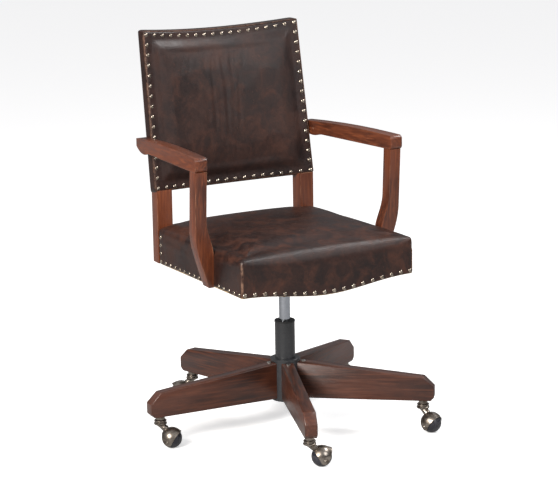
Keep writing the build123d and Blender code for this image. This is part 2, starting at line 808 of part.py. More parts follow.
def post_sketch(side, z, grow=0.0):
    """Plan of a rear post, turned with the splay of the seat's side."""
    turn = math.radians(post_splay)
    corner = Vector(side * seat_rear_half_width, seat_back_y)
    inward = Vector(-side * math.cos(turn), -math.sin(turn))
    back = Vector(side * -math.sin(turn), math.cos(turn))
    points = [
        corner - inward * grow - back * grow,
        corner + inward * (post_width + grow) - back * grow,
        corner + inward * (post_width + grow) + back * (post_depth + grow),
        corner - inward * grow + back * (post_depth + grow),
    ]
    with BuildSketch(up(z)) as plan:
        with BuildLine():
            Polyline([(p.X, p.Y) for p in points], close=True)
        make_face()
    return plan.sketch


def back_plane(along):
    """The plane across the raked back, a distance up its front corner line. Its Y runs up to the rear."""
    return Plane(
        origin=(
            0,
            back_bottom_y + along * math.sin(rake),
            back_bottom_z + along * math.cos(rake),
        ),
        x_dir=(1, 0, 0),
        z_dir=(0, math.sin(rake), math.cos(rake)),
    )


def back_half_width(along):
    """Half width of the back at a distance up it."""
    return back_bottom_half_width + (back_top_half_width - back_bottom_half_width) * along / back_length


# The arm's rear end lies against the side of the back, which is widest at the arm's underside.
arm_under_along = (arm_top_z - arm_height - back_bottom_z) / math.cos(rake)
arm_rear_outer_x = back_half_width(arm_under_along) + arm_back_gap + arm_rear_width


def back_section(along, front_inset, rear_inset, side_inset):
    """Plan of the curved back: two arcs, concave to the sitter."""
    half = back_half_width(along) - side_inset
    chord = back_half_width(along)
    radius = (chord * chord + back_curve * back_curve) / (2 * back_curve)
    near = radius + front_inset
    far = radius + back_thickness - rear_inset
    centre_y = back_curve - radius

    def arc_points(r):
        end_y = centre_y + math.sqrt(r * r - half * half)
        return (-half, end_y), (0, centre_y + r), (half, end_y)

    with BuildSketch(back_plane(along)) as section:
        with BuildLine():
            front = arc_points(near)
            rear = arc_points(far)
            ThreePointArc(*front)
            Line(front[2], rear[2])
            ThreePointArc(*rear)
            Line(rear[0], front[0])
        make_face()
    return section.sketch


def back_slab(front_inset, rear_inset, side_inset, bottom_inset, top_inset):
    """A layer of the raked, curved back, with its dipped top edge."""
    with BuildPart() as slab:
        loft(
            [
                back_section(bottom_inset, front_inset, rear_inset, side_inset),
                back_section(back_length + 8.0, front_inset, rear_inset, side_inset),
            ]
        )
        half = back_top_half_width + 30.0
        corner_rise = back_top_dip * (half / back_top_half_width) ** 2 - back_top_dip
        with BuildSketch(Plane.XZ.offset(-back_top_y + 100)):
            with BuildLine():
                ThreePointArc(
                    (-half, back_top_z - top_inset + corner_rise),
                    (0, back_top_z - top_inset - back_top_dip),
                    (half, back_top_z - top_inset + corner_rise),
                )
                Polyline(
                    (half, back_top_z - top_inset + corner_rise),
                    (half, back_top_z + 80),
                    (-half, back_top_z + 80),
                    (-half, back_top_z - top_inset + corner_rise),
                )
            make_face()
        extrude(amount=-300, mode=Mode.SUBTRACT)
    return slab.part


skin = cover_thickness
frame_front = skin + back_pad_thickness

# A screw runs sideways out of the framed edge of the back into each arm.
arm_bolt_z = arm_top_z - arm_height * (1 - arm_tail_height)
arm_bolt_y = back_bottom_y + math.tan(rake) * (arm_bolt_z - back_bottom_z)
arm_bolt_y += arm_bolt_share * back_thickness
arm_bolt_x0 = board_half_width + arm_bolt_end
arm_bolt_x1 = arm_rear_outer_x - arm_bolt_end


def arm_bolt(side, grow):
    """The shank or the hole of the screw between the back and one arm."""
    with BuildPart() as shank:
        with BuildSketch(Plane.YZ.offset(side * (arm_bolt_x0 - grow))):
            with Locations((arm_bolt_y, arm_bolt_z)):
                Circle(arm_screw_radius + grow)
        extrude(amount=side * (arm_bolt_x1 - arm_bolt_x0 + 2 * grow))
    return shank.part


frame_layer = back_slab(frame_front, skin, skin, skin, skin)
back_envelope = back_slab(0, 0, 0, 0, 0)

with BuildPart() as left_rear_post:
    extrude(post_sketch(-1, seat_bottom_z), amount=back_bottom_z + post_depth - seat_bottom_z)
    # Above its shoulder the post is let into the back, inside the leather.
    split(bisect_by=back_plane(skin), keep=Keep.BOTTOM)
    with BuildPart(mode=Mode.PRIVATE) as upper:
        add(frame_layer)
        with Locations((-board_half_width - far / 2, 0, back_bottom_z)):
            Box(far, far, far, mode=Mode.INTERSECT)
    add(upper.part)
    add(arm_bolt(-1, running_gap), mode=Mode.SUBTRACT)
save(left_rear_post, "left_rear_post")

with BuildPart() as right_rear_post:
    mirror(left_rear_post.part, about=Plane.YZ)
save(right_rear_post, "right_rear_post")

with BuildPart() as back_board:
    add(frame_layer)
    with Locations((0, 0, back_bottom_z)):
        Box(2 * (board_half_width - seat_gap), far, far, mode=Mode.INTERSECT)
save(back_board, "back_board")

with BuildPart() as back_pad:
    add(back_slab(skin, back_thickness - frame_front, skin, skin, skin))
    for side in (-1, 1):
        add(arm_bolt(side, running_gap), mode=Mode.SUBTRACT)
save(back_pad, "back_pad")

with BuildPart() as back_cover:
    add(back_envelope)
    add(back_slab(skin, skin, skin, skin, skin), mode=Mode.SUBTRACT)
    add(left_rear_post.part, mode=Mode.SUBTRACT)
    add(right_rear_post.part, mode=Mode.SUBTRACT)
    for side in (-1, 1):
        add(arm_bolt(side, running_gap), mode=Mode.SUBTRACT)
save(back_cover, "back_cover")


# ---------------------------------------------------------------- seat
def seat_plan(inset, z):
    """Plan of the seat block, notched round the rear posts."""
    rear_y = seat_back_y + post_depth - seat_rear_inset
    turn = math.radians(post_splay)
    notch_x = seat_rear_half_width - post_width * math.cos(turn) - post_depth * math.sin(turn) - body_gap
    front_x = side_x(seat_front_y, inset)
    post_x = side_x(seat_back_y, inset)
    points = [
        (front_x, seat_front_y + inset),
        (post_x, seat_back_y - post_width * math.sin(turn) - body_gap - inset),
        (notch_x - inset, seat_back_y - post_width * math.sin(turn) - body_gap - inset),
        (notch_x - inset, rear_y - inset),
    ]
    mirrored = [(-x, y) for x, y in reversed(points)]
    with BuildSketch(up(z)) as plan:
        with BuildLine():
            Polyline(points + mirrored, close=True)
        make_face()
    return plan.sketch


def seat_block(inset, low_z):
    """The upholstered block: upright sides and a crowned top."""
    crown_z = seat_top_z - inset
    with BuildPart() as block:
        extrude(seat_plan(inset, low_z), amount=crown_z - low_z)
        extrude(seat_plan(inset, crown_z), amount=seat_crown, taper=crown_slope)
    return block.part


seat_outside = seat_block(0, seat_bottom_z)
seat_inside = seat_block(skin, apron_low_z - beyond)


def apron_curve(inset, depth):
    """The hanging lower edge of the front, a slab as deep as the front rail."""
    half = seat_front_half_width - inset - edge_break
    with BuildPart() as apron:
        with BuildSketch(Plane.XZ.offset(-seat_front_y - inset)):
            with BuildLine():
                Spline(
                    (-half, seat_bottom_z),
                    (0, apron_low_z),
                    (half, seat_bottom_z),
                    tangents=((1, 0), (1, 0), (1, 0)),
                )
                Polyline(
                    (half, seat_bottom_z),
                    (half, seat_bottom_z + beyond),
                    (-half, seat_bottom_z + beyond),
                    (-half, seat_bottom_z),
                )
            make_face()
        extrude(amount=-depth)
    return apron.part


apron_outer = apron_curve(0, skin)
rail_inner_front_y = seat_front_y + skin + rail_thickness
post_face_y = seat_back_y - post_width * math.sin(math.radians(post_splay)) - body_gap - skin
rail_inner_rear_y = post_face_y - rail_thickness
rail_inner_depth = rail_inner_rear_y - rail_inner_front_y
rail_middle_y = (rail_inner_front_y + rail_inner_rear_y) / 2


def rail_space(inset):
    """Plan between the seat's skin and its frame."""
    return seat_plan(skin + inset, seat_bottom_z)


with BuildPart() as rail_ring:
    extrude(rail_space(0), amount=rail_height)
    with BuildSketch(up(seat_bottom_z - beyond)):
        with BuildLine():
            inner = side_x(rail_inner_front_y, skin + rail_thickness)
            inner_rear = side_x(rail_inner_rear_y, skin + rail_thickness)
            Polyline(
                (-inner, rail_inner_front_y),
                (inner, rail_inner_front_y),
                (inner_rear, rail_inner_rear_y),
                (-inner_rear, rail_inner_rear_y),
                close=True,
            )
        make_face()
    extrude(amount=rail_height + 2 * beyond, mode=Mode.SUBTRACT)

# Screws that hold the arm posts run outwards through the side rails.
arm_post_foot_y = arm_post_front_y + arm_post_depth / 2 + math.tan(math.radians(arm_post_lean)) * (
    arm_top_z - arm_height - seat_bottom_z
)
screw_heights = (seat_bottom_z + arm_screw_low, rail_top_z - arm_screw_high)
screw_start_x = side_x(arm_post_foot_y, skin + rail_thickness)
screw_end_x = side_x(arm_post_foot_y) + arm_screw_bite * foot_thickness


def arm_screw_holes(side, grow):
    """The straight holes or shanks of the screws of one arm."""
    with BuildPart() as shanks:
        for z in screw_heights:
            with BuildSketch(Plane.YZ.offset(side * (screw_start_x - arm_screw_start))):
                with Locations((arm_post_foot_y, z)):
                    Circle(arm_screw_radius + grow)
            extrude(amount=side * (screw_end_x - screw_start_x + arm_screw_start + grow))
    return shanks.part


with BuildPart() as seat_cover:
    add(seat_outside)
    add(seat_inside, mode=Mode.SUBTRACT)
    add(apron_outer)
    for side in (-1, 1):
        add(arm_screw_holes(side, running_gap), mode=Mode.SUBTRACT)
save(seat_cover, "seat_cover")

with BuildPart() as seat_side_rails:
    add(rail_ring.part)
    with Locations((0, rail_inner_front_y - far / 2, seat_bottom_z)):
        Box(far, far, far, mode=Mode.SUBTRACT)
    with Locations((0, rail_inner_rear_y + far / 2, seat_bottom_z)):
        Box(far, far, far, mode=Mode.SUBTRACT)
    for side in (-1, 1):
        add(arm_screw_holes(side, running_gap), mode=Mode.SUBTRACT)

with BuildPart() as seat_cross_rails:
    add(rail_ring.part)
    with Locations((0, rail_middle_y, seat_bottom_z)):
        Box(far, rail_inner_depth + 2 * seat_gap, far, mode=Mode.SUBTRACT)
    add(apron_curve(skin, rail_thickness))

with BuildPart() as seat_rails:
    add(seat_side_rails.part)
    add(seat_cross_rails.part)
save(seat_rails, "seat_rails")

with BuildPart() as corner_blocks:
    for sx in (-1, 1):
        for front in (True, False):
            y0 = rail_inner_front_y + seat_gap if front else rail_inner_rear_y - seat_gap
            step = corner_block_size if front else -corner_block_size
            x0 = side_x(y0, skin + rail_thickness + seat_gap)
            x1 = side_x(y0 + step, skin + rail_thickness + seat_gap)
            with BuildSketch(up(rail_top_z - corner_block_gap)):
                with BuildLine():
                    Polyline(
                        (sx * x0, y0),
                        (sx * (x0 - corner_block_size), y0),
                        (sx * x1, y0 + step),
                        close=True,
                    )
                make_face()
            extrude(amount=-corner_block_height)
save(corner_blocks, "corner_blocks")

cleat_bottom_z = plate_top_z
with BuildPart() as mechanism_cleats:
    for sx in (-1, 1):
        with BuildSketch(up(cleat_bottom_z)):
            with Locations((sx * cleat_centre_x, rail_middle_y)):
                Rectangle(cleat_width, rail_inner_depth - 2 * seat_gap)
        extrude(amount=cleat_height)
    with Locations([(x, y, cleat_bottom_z) for x, y in plate_screw_spots]):
        Cylinder(plate_screw_radius + seat_gap, 2 * (plate_screw_length + edge_break), mode=Mode.SUBTRACT)
save(mechanism_cleats, "mechanism_cleats")

with BuildPart() as plate_screws:
    with BuildSketch(up(plate_bottom_z)):
        with Locations(plate_screw_spots):
            Circle(plate_screw_radius)
    extrude(amount=plate_thickness + plate_screw_length)
    with BuildSketch(up(plate_bottom_z)):
        with Locations(plate_screw_spots):
            Circle(plate_screw_head_radius)
    extrude(amount=-plate_screw_head_height)
save(plate_screws, "plate_screws")

with BuildPart() as seat_webbing:
    with BuildPart(mode=Mode.PRIVATE) as web_area:
        extrude(seat_plan(skin + webbing_inset, rail_top_z), amount=2 * webbing_thickness)
        with Locations((0, (rail_inner_front_y + post_face_y) / 2, rail_top_z)):
            Box(far, post_face_y - rail_inner_front_y, 2 * beyond, mode=Mode.INTERSECT)
    depth = post_face_y - rail_inner_front_y
    with BuildSketch(up(rail_top_z)):
        for i in range(webbing_bands):
            with Locations((0, rail_inner_front_y + depth * (i + 0.5) / webbing_bands)):
                Rectangle(far, webbing_width)
    extrude(amount=webbing_thickness)
    with BuildSketch(up(rail_top_z + webbing_thickness)):
        for i in range(webbing_bands):
            with Locations(((i - (webbing_bands - 1) / 2) * webbing_pitch, 0)):
                Rectangle(webbing_width, far)
    extrude(amount=webbing_thickness)
    add(web_area.part, mode=Mode.INTERSECT)
save(seat_webbing, "seat_webbing")

with BuildPart() as seat_foam:
    add(seat_block(skin, rail_top_z + 2 * webbing_thickness))
save(seat_foam, "seat_foam")

with BuildPart() as dust_cover:
    with BuildSketch(up(seat_bottom_z - dust_cover_thickness)):
        with Locations((0, (rail_inner_front_y + post_face_y) / 2)):
            Rectangle(
                2 * side_x(seat_back_y, dust_cover_inset),
                post_face_y - rail_inner_front_y - body_gap,
            )
        with Locations((0, (plate_front_y + plate_rear_y) / 2)):
            Rectangle(
                2 * (plate_half_width + dust_cover_gap),
                plate_rear_y - plate_front_y + 2 * dust_cover_gap,
                mode=Mode.SUBTRACT,
            )
    extrude(amount=dust_cover_thickness)
save(dust_cover, "dust_cover")


# ---------------------------------------------------------------- arms
def arm_bar(side):
    """One arm: a tapered bar in plan, with an arched top and a rounded nose."""
    low = arm_top_z - arm_height
    rear_top = arm_top_z - arm_rear_drop
    tail_z = rear_top - arm_height * (1 - arm_tail_height)
    with BuildPart() as bar:
        with BuildSketch(up(low - far / 2)):
            with BuildLine():
                Polyline(
                    (side * arm_front_outer_x, arm_front_y),
                    (side * arm_rear_outer_x, arm_rear_y),
                    (side * (arm_rear_outer_x - arm_rear_width), arm_rear_y),
                    (side * (arm_front_outer_x - arm_front_width), arm_front_y),
                    close=True,
                )
            make_face()
        extrude(amount=far)
        with BuildSketch(Plane.YZ.offset(-far / 2)):
            with BuildLine():
                middle_y = (arm_front_y + arm_rear_y) / 2
                ThreePointArc(
                    (arm_front_y + arm_nose_round, arm_top_z),
                    (middle_y, arm_top_z - arm_rear_drop / 2 + arm_arch),
                    (arm_rear_y, rear_top),
                )
                Line((arm_rear_y, rear_top), (arm_rear_y, tail_z))
                ThreePointArc(
                    (arm_rear_y, tail_z),
                    (arm_rear_y - 0.3 * arm_tail_length, low - arm_tail_sag),
                    (arm_rear_y - arm_tail_length, low),
                )
                Line((arm_rear_y - arm_tail_length, low), (arm_front_y + 0.6 * arm_nose_round, low))
                ThreePointArc(
                    (arm_front_y + 0.6 * arm_nose_round, low),
                    (arm_front_y + 0.1 * arm_nose_round, low + 0.55 * arm_nose_round),
                    (arm_front_y, low + arm_nose_round),
                )
                Line((arm_front_y, low + arm_nose_round), (arm_front_y, arm_top_z - arm_nose_round))
                ThreePointArc(
                    (arm_front_y, arm_top_z - arm_nose_round),
                    (arm_front_y + 0.3 * arm_nose_round, arm_top_z - 0.3 * arm_nose_round),
                    (arm_front_y + arm_nose_round, arm_top_z),
                )
            make_face()
        extrude(amount=far, mode=Mode.INTERSECT)
    return bar


def arm_post_shape(side):
    """One arm post: straight above, curving in to a thin foot beside the seat."""
    lean = math.radians(arm_post_lean)
    plane = Plane(
        origin=(0, arm_post_foot_y - arm_post_depth / 2, seat_bottom_z),
        x_dir=(1, 0, 0),
        z_dir=(0, -math.cos(lean), -math.sin(lean)),
    )
    foot_x = side_x(arm_post_foot_y - arm_post_depth / 2) + body_gap
    top = (arm_top_z - arm_height - seat_bottom_z + beyond) / math.cos(lean)
    bend = foot_inner_top_z - seat_bottom_z
    inner_x = arm_post_outer_x - arm_post_width
    with BuildPart() as arm_post:
        with BuildSketch(plane):
            with BuildLine():
                Polyline(
                    (side * foot_x, 0),
                    (side * foot_x, bend - inner_curve_low),
                )
                Spline(
                    (side * foot_x, bend - inner_curve_low),
                    (side * (foot_x + inner_curve_step), bend + 0.6 * inner_curve_low),
                    (side * inner_x, bend + inner_curve_high),
                    tangents=((0, 1), (0, 1)),
                )
                Polyline(
                    (side * inner_x, bend + inner_curve_high),
                    (side * inner_x, top),
                    (side * arm_post_outer_x, top),
                    (side * arm_post_outer_x, bend + outer_curve_high),
                )
                Spline(
                    (side * arm_post_outer_x, bend + outer_curve_high),
                    (side * (foot_x + foot_thickness + outer_curve_low), bend - outer_curve_low),
                    (side * (foot_x + foot_thickness), 0),
                    tangents=((0, -1), (-side * 0.35, -1)),
                )
                Line((side * (foot_x + foot_thickness), 0), (side * foot_x, 0))
            make_face()
        extrude(amount=-arm_post_depth)
        split(bisect_by=up(arm_top_z - arm_height - seat_gap), keep=Keep.BOTTOM)
        split(bisect_by=up(seat_bottom_z - foot_overhang), keep=Keep.TOP)
    return arm_post


for side, name in ((-1, "left_arm"), (1, "right_arm")):
    with BuildPart() as arm:
        add(arm_bar(side).part)
        add(arm_bolt(side, running_gap), mode=Mode.SUBTRACT)
    save(arm, name)

for side, name in ((-1, "left_arm_post"), (1, "right_arm_post")):
    with BuildPart() as arm_post:
        add(arm_post_shape(side).part)
        add(arm_screw_holes(side, running_gap), mode=Mode.SUBTRACT)
    save(arm_post, name)

with BuildPart() as arm_screws:
    for side in (-1, 1):
        add(arm_screw_holes(side, 0))
        for z in screw_heights:
            with BuildSketch(Plane.YZ.offset(side * (screw_start_x - arm_screw_start))):
                with Locations((arm_post_foot_y, z)):
                    Circle(arm_screw_head_radius)
            extrude(amount=side * arm_screw_head_height)
        add(arm_bolt(side, 0))
save(arm_screws, "arm_screws")


# ---------------------------------------------------------------- nails
def nail_dome():
    """A shallow domed nail head on the XY plane, cut from a sphere."""
    sphere_radius = (nail_radius**2 + nail_height**2) / (2 * nail_height)
    with BuildPart() as dome:
        with Locations((0, 0, nail_height - sphere_radius)):
            Sphere(sphere_radius)
        with Locations((0, 0, -2 * sphere_radius)):
            Box(4 * sphere_radius, 4 * sphere_radius, 4 * sphere_radius, mode=Mode.SUBTRACT)
    return dome.part


nail = nail_dome()


def spaced(start, stop, count):
    """Evenly spaced values, ends included."""
    return [start + (stop - start) * i / (count - 1) for i in range(count)]


def apron_z(x):
    """Height of the front's lower edge, flat at the corners and lowest in the middle."""
    half = seat_front_half_width
    return seat_bottom_z - apron_dip * (0.5 + 0.5 * math.cos(math.pi * x / half))


seat_nail_planes = []
reach = seat_front_half_width - nail_margin
for x in spaced(-reach, reach, seat_front_nails):
    spot = (x, seat_front_y, apron_z(x) + nail_margin)
    seat_nail_planes.append(Plane(origin=spot, x_dir=(1, 0, 0), z_dir=(0, -1, 0)))
for side in (-1, 1):
    normal = (side * math.cos(seat_splay), math.sin(seat_splay), 0)
    last_y = post_face_y - nail_margin
    for y in spaced(seat_front_y + 1.7 * nail_margin, last_y, seat_side_nails):
        if abs(y - arm_post_foot_y) > arm_post_depth / 2 + nail_radius:
            spot = (side * side_x(y), y, seat_bottom_z + nail_margin)
            seat_nail_planes.append(Plane(origin=spot, x_dir=(0, 0, 1), z_dir=normal))
    for i in range(1, seat_corner_nails):
        z = seat_bottom_z + nail_margin + i * (seat_side_height - nail_margin) / seat_corner_nails
        spot = (side * side_x(last_y), last_y, z)
        seat_nail_planes.append(Plane(origin=spot, x_dir=(0, 0, 1), z_dir=normal))

with BuildPart() as seat_nails:
    with Locations([plane.offset(nail_lift).location for plane in seat_nail_planes]):
        add(nail)
save(seat_nails, "seat_nails")


def back_nail_plane(share, along):
    """A plane on the front of the back: share of the half width, distance up the back."""
    chord = back_half_width(along)
    radius = (chord * chord + back_curve * back_curve) / (2 * back_curve)
    x = share * (chord - nail_margin)
    local = back_plane(along)
    y = back_curve - radius + math.sqrt(radius * radius - x * x)
    origin = local.origin + local.x_dir * x + local.y_dir * y
    normal = local.x_dir * (-x / radius) - local.y_dir * math.sqrt(1 - (x / radius) ** 2)
    return Plane(origin=origin, x_dir=local.z_dir, z_dir=normal)


def back_top_along(share):
    """Distance up the back of the top row, which follows the dipped edge."""
    return back_length - nail_margin - cover_thickness - back_top_dip * (1 - share * share)


back_nail_planes = []
for share in spaced(-1, 1, back_row_nails):
    back_nail_planes.append(back_nail_plane(share, nail_margin))
    back_nail_planes.append(back_nail_plane(share, back_top_along(share)))
for side in (-1, 1):
    for along in spaced(nail_margin, back_top_along(1), back_side_nails + 2)[1:-1]:
        back_nail_planes.append(back_nail_plane(side, along))

with BuildPart() as back_nails:
    with Locations([plane.offset(nail_lift).location for plane in back_nail_planes]):
        add(nail)
save(back_nails, "back_nails")

print("nails on the seat", len(seat_nail_planes), "and on the back", len(back_nail_planes))
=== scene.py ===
# %% [markdown]
# # A swivel desk chair: leather, mahogany and antique metal around a working frame
#
# The chair's frame comes from CAD with its real sizes and its joints. This lesson dresses it: legs and
# nails grown by Geometry Nodes, leather blown up by cloth simulation, turned casters, and finishes mixed
# from a few shared shader groups. Everything is in metres, +Z up, and the sitter faces -Y.

# %% Load the frame
import json
import math

import bmesh
import bpy
import numpy as np
from mathutils import Matrix, Vector


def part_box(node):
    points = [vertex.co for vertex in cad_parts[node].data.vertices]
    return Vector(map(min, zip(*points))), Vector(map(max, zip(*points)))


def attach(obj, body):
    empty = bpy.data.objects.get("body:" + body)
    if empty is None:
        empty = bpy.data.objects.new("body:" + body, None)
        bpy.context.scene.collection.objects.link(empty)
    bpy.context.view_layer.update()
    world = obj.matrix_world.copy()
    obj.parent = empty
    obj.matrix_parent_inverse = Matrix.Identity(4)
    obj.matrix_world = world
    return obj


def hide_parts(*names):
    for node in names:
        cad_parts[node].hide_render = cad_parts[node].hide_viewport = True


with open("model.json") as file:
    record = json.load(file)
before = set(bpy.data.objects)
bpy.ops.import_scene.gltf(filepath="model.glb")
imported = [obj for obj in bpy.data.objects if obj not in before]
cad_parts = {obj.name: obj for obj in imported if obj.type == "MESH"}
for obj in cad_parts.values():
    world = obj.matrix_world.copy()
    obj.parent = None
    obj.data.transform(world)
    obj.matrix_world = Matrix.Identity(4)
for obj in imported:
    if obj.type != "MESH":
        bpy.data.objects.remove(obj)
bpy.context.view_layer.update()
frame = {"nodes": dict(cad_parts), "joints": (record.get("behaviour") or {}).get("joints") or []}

joints = {joint["name"]: joint for joint in frame["joints"]}

# %% [markdown]
# ## Small tools
#
# Node trees read better when one short call makes a node, sets its options and plugs its inputs. The same
# goes for meshes: one call turns points and faces into an object that rides on the right body.

# %% A helper for nodes
def node(tree, kind, inputs=None, **options):
    """Adds a node. An input's value is a number, a colour, or another node's output socket."""
    made = tree.nodes.new(kind)
    for name, value in options.items():
        setattr(made, name, value)
    for key, value in (inputs or {}).items():
        socket = made.inputs[key]
        if isinstance(value, bpy.types.NodeSocket):
            tree.links.new(value, socket)
        else:
            socket.default_value = value
    return made


def math_node(tree, operation, first, second=None):
    """A Math node's output."""
    inputs = {0: first}
    if second is not None:
        inputs[1] = second
    return node(tree, "ShaderNodeMath", inputs, operation=operation).outputs[0]


def times(tree, first, second):
    """One value times another."""
    return math_node(tree, "MULTIPLY", first, second)


def between(tree, value, low, high):
    """A smooth step from 0 at low to 1 at high."""
    inputs = {"Value": value, "From Min": low, "From Max": high}
    made = node(tree, "ShaderNodeMapRange", inputs, interpolation_type="SMOOTHSTEP")
    return made.outputs["Result"]


def mixed(tree, share, first, second, blend="MIX"):
    """A colour mix's output."""
    inputs = {"Factor": share, "A": first, "B": second}
    made = tree.nodes.new("ShaderNodeMix")
    made.data_type = "RGBA"
    made.blend_type = blend
    picked = {
        "Factor": made.inputs[0],
        "A": made.inputs[6],
        "B": made.inputs[7],
    }
    for key, value in inputs.items():
        if isinstance(value, bpy.types.NodeSocket):
            tree.links.new(value, picked[key])
        else:
            picked[key].default_value = value
    return made.outputs[2]


def noise_at(tree, vector, scale, detail=4.0, roughness=0.55, distortion=0.0):
    """A noise texture's value."""
    inputs = {
        "Vector": vector,
        "Scale": scale,
        "Detail": detail,
        "Roughness": roughness,
        "Distortion": distortion,
    }
    return node(tree, "ShaderNodeTexNoise", inputs).outputs["Fac"]


def stretched(tree, vector, scale, turn=(0.0, 0.0, 0.0)):
    """A vector turned, then scaled differently along its three directions."""
    turned = node(tree, "ShaderNodeMapping", {"Vector": vector, "Rotation": turn})
    inputs = {"Vector": turned.outputs["Vector"], "Scale": scale}
    return node(tree, "ShaderNodeMapping", inputs).outputs["Vector"]


def new_group(name, inputs, outputs):
    """An empty shader node group with named sockets, and its input and output nodes."""
    group = bpy.data.node_groups.new(name, "ShaderNodeTree")
    kinds = {"vector": "NodeSocketVector", "color": "NodeSocketColor", "value": "NodeSocketFloat"}
    for title, kind, default in inputs:
        socket = group.interface.new_socket(title, in_out="INPUT", socket_type=kinds[kind])
        if default is not None:
            socket.default_value = default
    for title, kind in outputs:
        group.interface.new_socket(title, in_out="OUTPUT", socket_type=kinds[kind])
    return group, group.nodes.new("NodeGroupInput"), group.nodes.new("NodeGroupOutput")


def colour(red, green, blue):
    """An opaque colour."""
    return (red, green, blue, 1.0)


# %% [markdown]
# ## Edge wear on the wood
#
# Lacquer and wax rub off where hands and feet meet an edge. The Bevel node gives a normal that is rounded
# near edges, so the angle between it and the true normal is a mask of the edges. It could also be painted
# by hand, but then every change of shape would need a new painting.

# %% The edge wear group
edge_wear, wear_in, wear_out = new_group(
    "edge wear",
    [
        ("Vector", "vector", None),
        ("Radius", "value", 0.003),
        ("Amount", "value", 1.0),
        ("Patchiness", "value", 30.0),
    ],
    [("Mask", "value")],
)
edge_from, edge_full = 0.015, 0.16
rounded = node(edge_wear, "ShaderNodeBevel", {"Radius": wear_in.outputs["Radius"]}, samples=6)
true_normal = node(edge_wear, "ShaderNodeNewGeometry").outputs["Normal"]
facing = node(
    edge_wear, "ShaderNodeVectorMath", {0: rounded.outputs[0], 1: true_normal}, operation="DOT_PRODUCT"
).outputs["Value"]
edge = between(edge_wear, math_node(edge_wear, "SUBTRACT", 1.0, facing), edge_from, edge_full)
patches = between(
    edge_wear, noise_at(
        edge_wear,
        wear_in.outputs["Vector"],
        wear_in.outputs["Patchiness"],
        6.0,
    ), 0.42, 0.66
)
worn = times(edge_wear, edge, patches)
worn = times(edge_wear, worn, wear_in.outputs["Amount"])
edge_wear.links.new(worn, wear_out.inputs["Mask"])
print("group", edge_wear.name)

# %% [markdown]
# ## Stained hardwood
#
# The wood is a fine straight-grained hardwood, stained red brown and lacquered. Its look is three things
# at three scales: broad dark and light clouds of stain, long streaks of grain, and short dark pores. Each
# is a noise stretched along the grain, so the group expects a vector whose X runs along the piece.

# %% The wood group
wood_tree, wood_in, wood_out = new_group(
    "stained wood",
    [
        ("Vector", "vector", None),
        ("Dark", "color", colour(0.02, 0.006, 0.004)),
        ("Middle", "color", colour(0.1, 0.02, 0.01)),
        ("Light", "color", colour(0.25, 0.06, 0.02)),
        ("Cloudiness", "value", 1.0),
    ],
    [("Color", "color"), ("Roughness", "value"), ("Height", "value")],
)
along_grain = wood_in.outputs["Vector"]
clouds = noise_at(wood_tree, stretched(wood_tree, along_grain, (5.0, 14.0, 14.0)), 1.0, 5.0, 0.6, 0.4)
streaks = noise_at(wood_tree, stretched(wood_tree, along_grain, (9.0, 190.0, 190.0)), 1.0, 5.0, 0.65, 0.3)
flecks = noise_at(wood_tree, stretched(wood_tree, along_grain, (70.0, 620.0, 620.0)), 1.0, 3.0, 0.6)
cloud_mask = times(wood_tree, between(wood_tree, clouds, 0.36, 0.66), wood_in.outputs["Cloudiness"])
base_tone = mixed(wood_tree, cloud_mask, wood_in.outputs["Middle"], wood_in.outputs["Dark"])
lit_tone = mixed(wood_tree, between(wood_tree, streaks, 0.42, 0.72), base_tone, wood_in.outputs["Light"])
pores = between(wood_tree, flecks, 0.60, 0.72)
pore_tone = mixed(wood_tree, times(wood_tree, pores, 0.45), lit_tone, wood_in.outputs["Dark"])
gloss = node(
    wood_tree, "ShaderNodeMapRange", {
        "Value": streaks,
        "From Min": 0.3,
        "From Max": 0.7,
        "To Min": 0.3,
        "To Max": 0.46,
    }
).outputs["Result"]
height = math_node(wood_tree, "SUBTRACT", times(wood_tree, streaks, 0.5), pores)
wood_tree.links.new(pore_tone, wood_out.inputs["Color"])
wood_tree.links.new(gloss, wood_out.inputs["Roughness"])
wood_tree.links.new(height, wood_out.inputs["Height"])
print("group", wood_tree.name)

# %% [markdown]
# ## Waxed pull-up leather
#
# This hide is dark brown on top of red: where it is stretched, sat on or scuffed, the wax thins and the
# red shows. The group layers that: large clouds, smaller worn patches, fine scratches in two directions
# and a pebbled grain. How far a spot is worn comes in as a value, which each piece carries as an
# attribute.

# %% The leather group
hide_tree, hide_in, hide_out = new_group(
    "waxed leather",
    [
        ("Vector", "vector", None),
        ("Dark", "color", colour(0.012, 0.0052, 0.0045)),
        ("Brown", "color", colour(0.026, 0.0100, 0.0070)),
        ("Worn", "color", colour(0.070, 0.023, 0.012)),
        ("Wear", "value", 0.3),
    ],
    [("Color", "color"), ("Roughness", "value"), ("Height", "value")],
)
hide = hide_in.outputs["Vector"]
hide_clouds = noise_at(hide_tree, hide, 9.0, 6.0, 0.6, 0.5)
hide_patches = noise_at(hide_tree, hide, 21.0, 8.0, 0.62, 0.9)
hide_mottle = noise_at(hide_tree, hide, 120.0, 5.0, 0.7)
scratch_field = noise_at(hide_tree, hide, 15.0, 2.0)
first_scratches = noise_at(
    hide_tree,
    stretched(hide_tree, hide, (14.0, 330.0, 150.0), (0.3, 0.5, 0.9)),
    1.0,
    2.0,
)
second_scratches = noise_at(
    hide_tree, stretched(hide_tree, hide, (280.0, 17.0, 140.0), (0.2, -0.4, 0.35)), 1.0, 2.0
)
brown = mixed(
    hide_tree,
    between(hide_tree, hide_clouds, 0.36, 0.64),
    hide_in.outputs["Dark"],
    hide_in.outputs["Brown"],
)
wear_here = times(hide_tree, between(hide_tree, hide_patches, 0.40, 0.72), hide_in.outputs["Wear"])
brown = mixed(hide_tree, wear_here, brown, hide_in.outputs["Worn"])
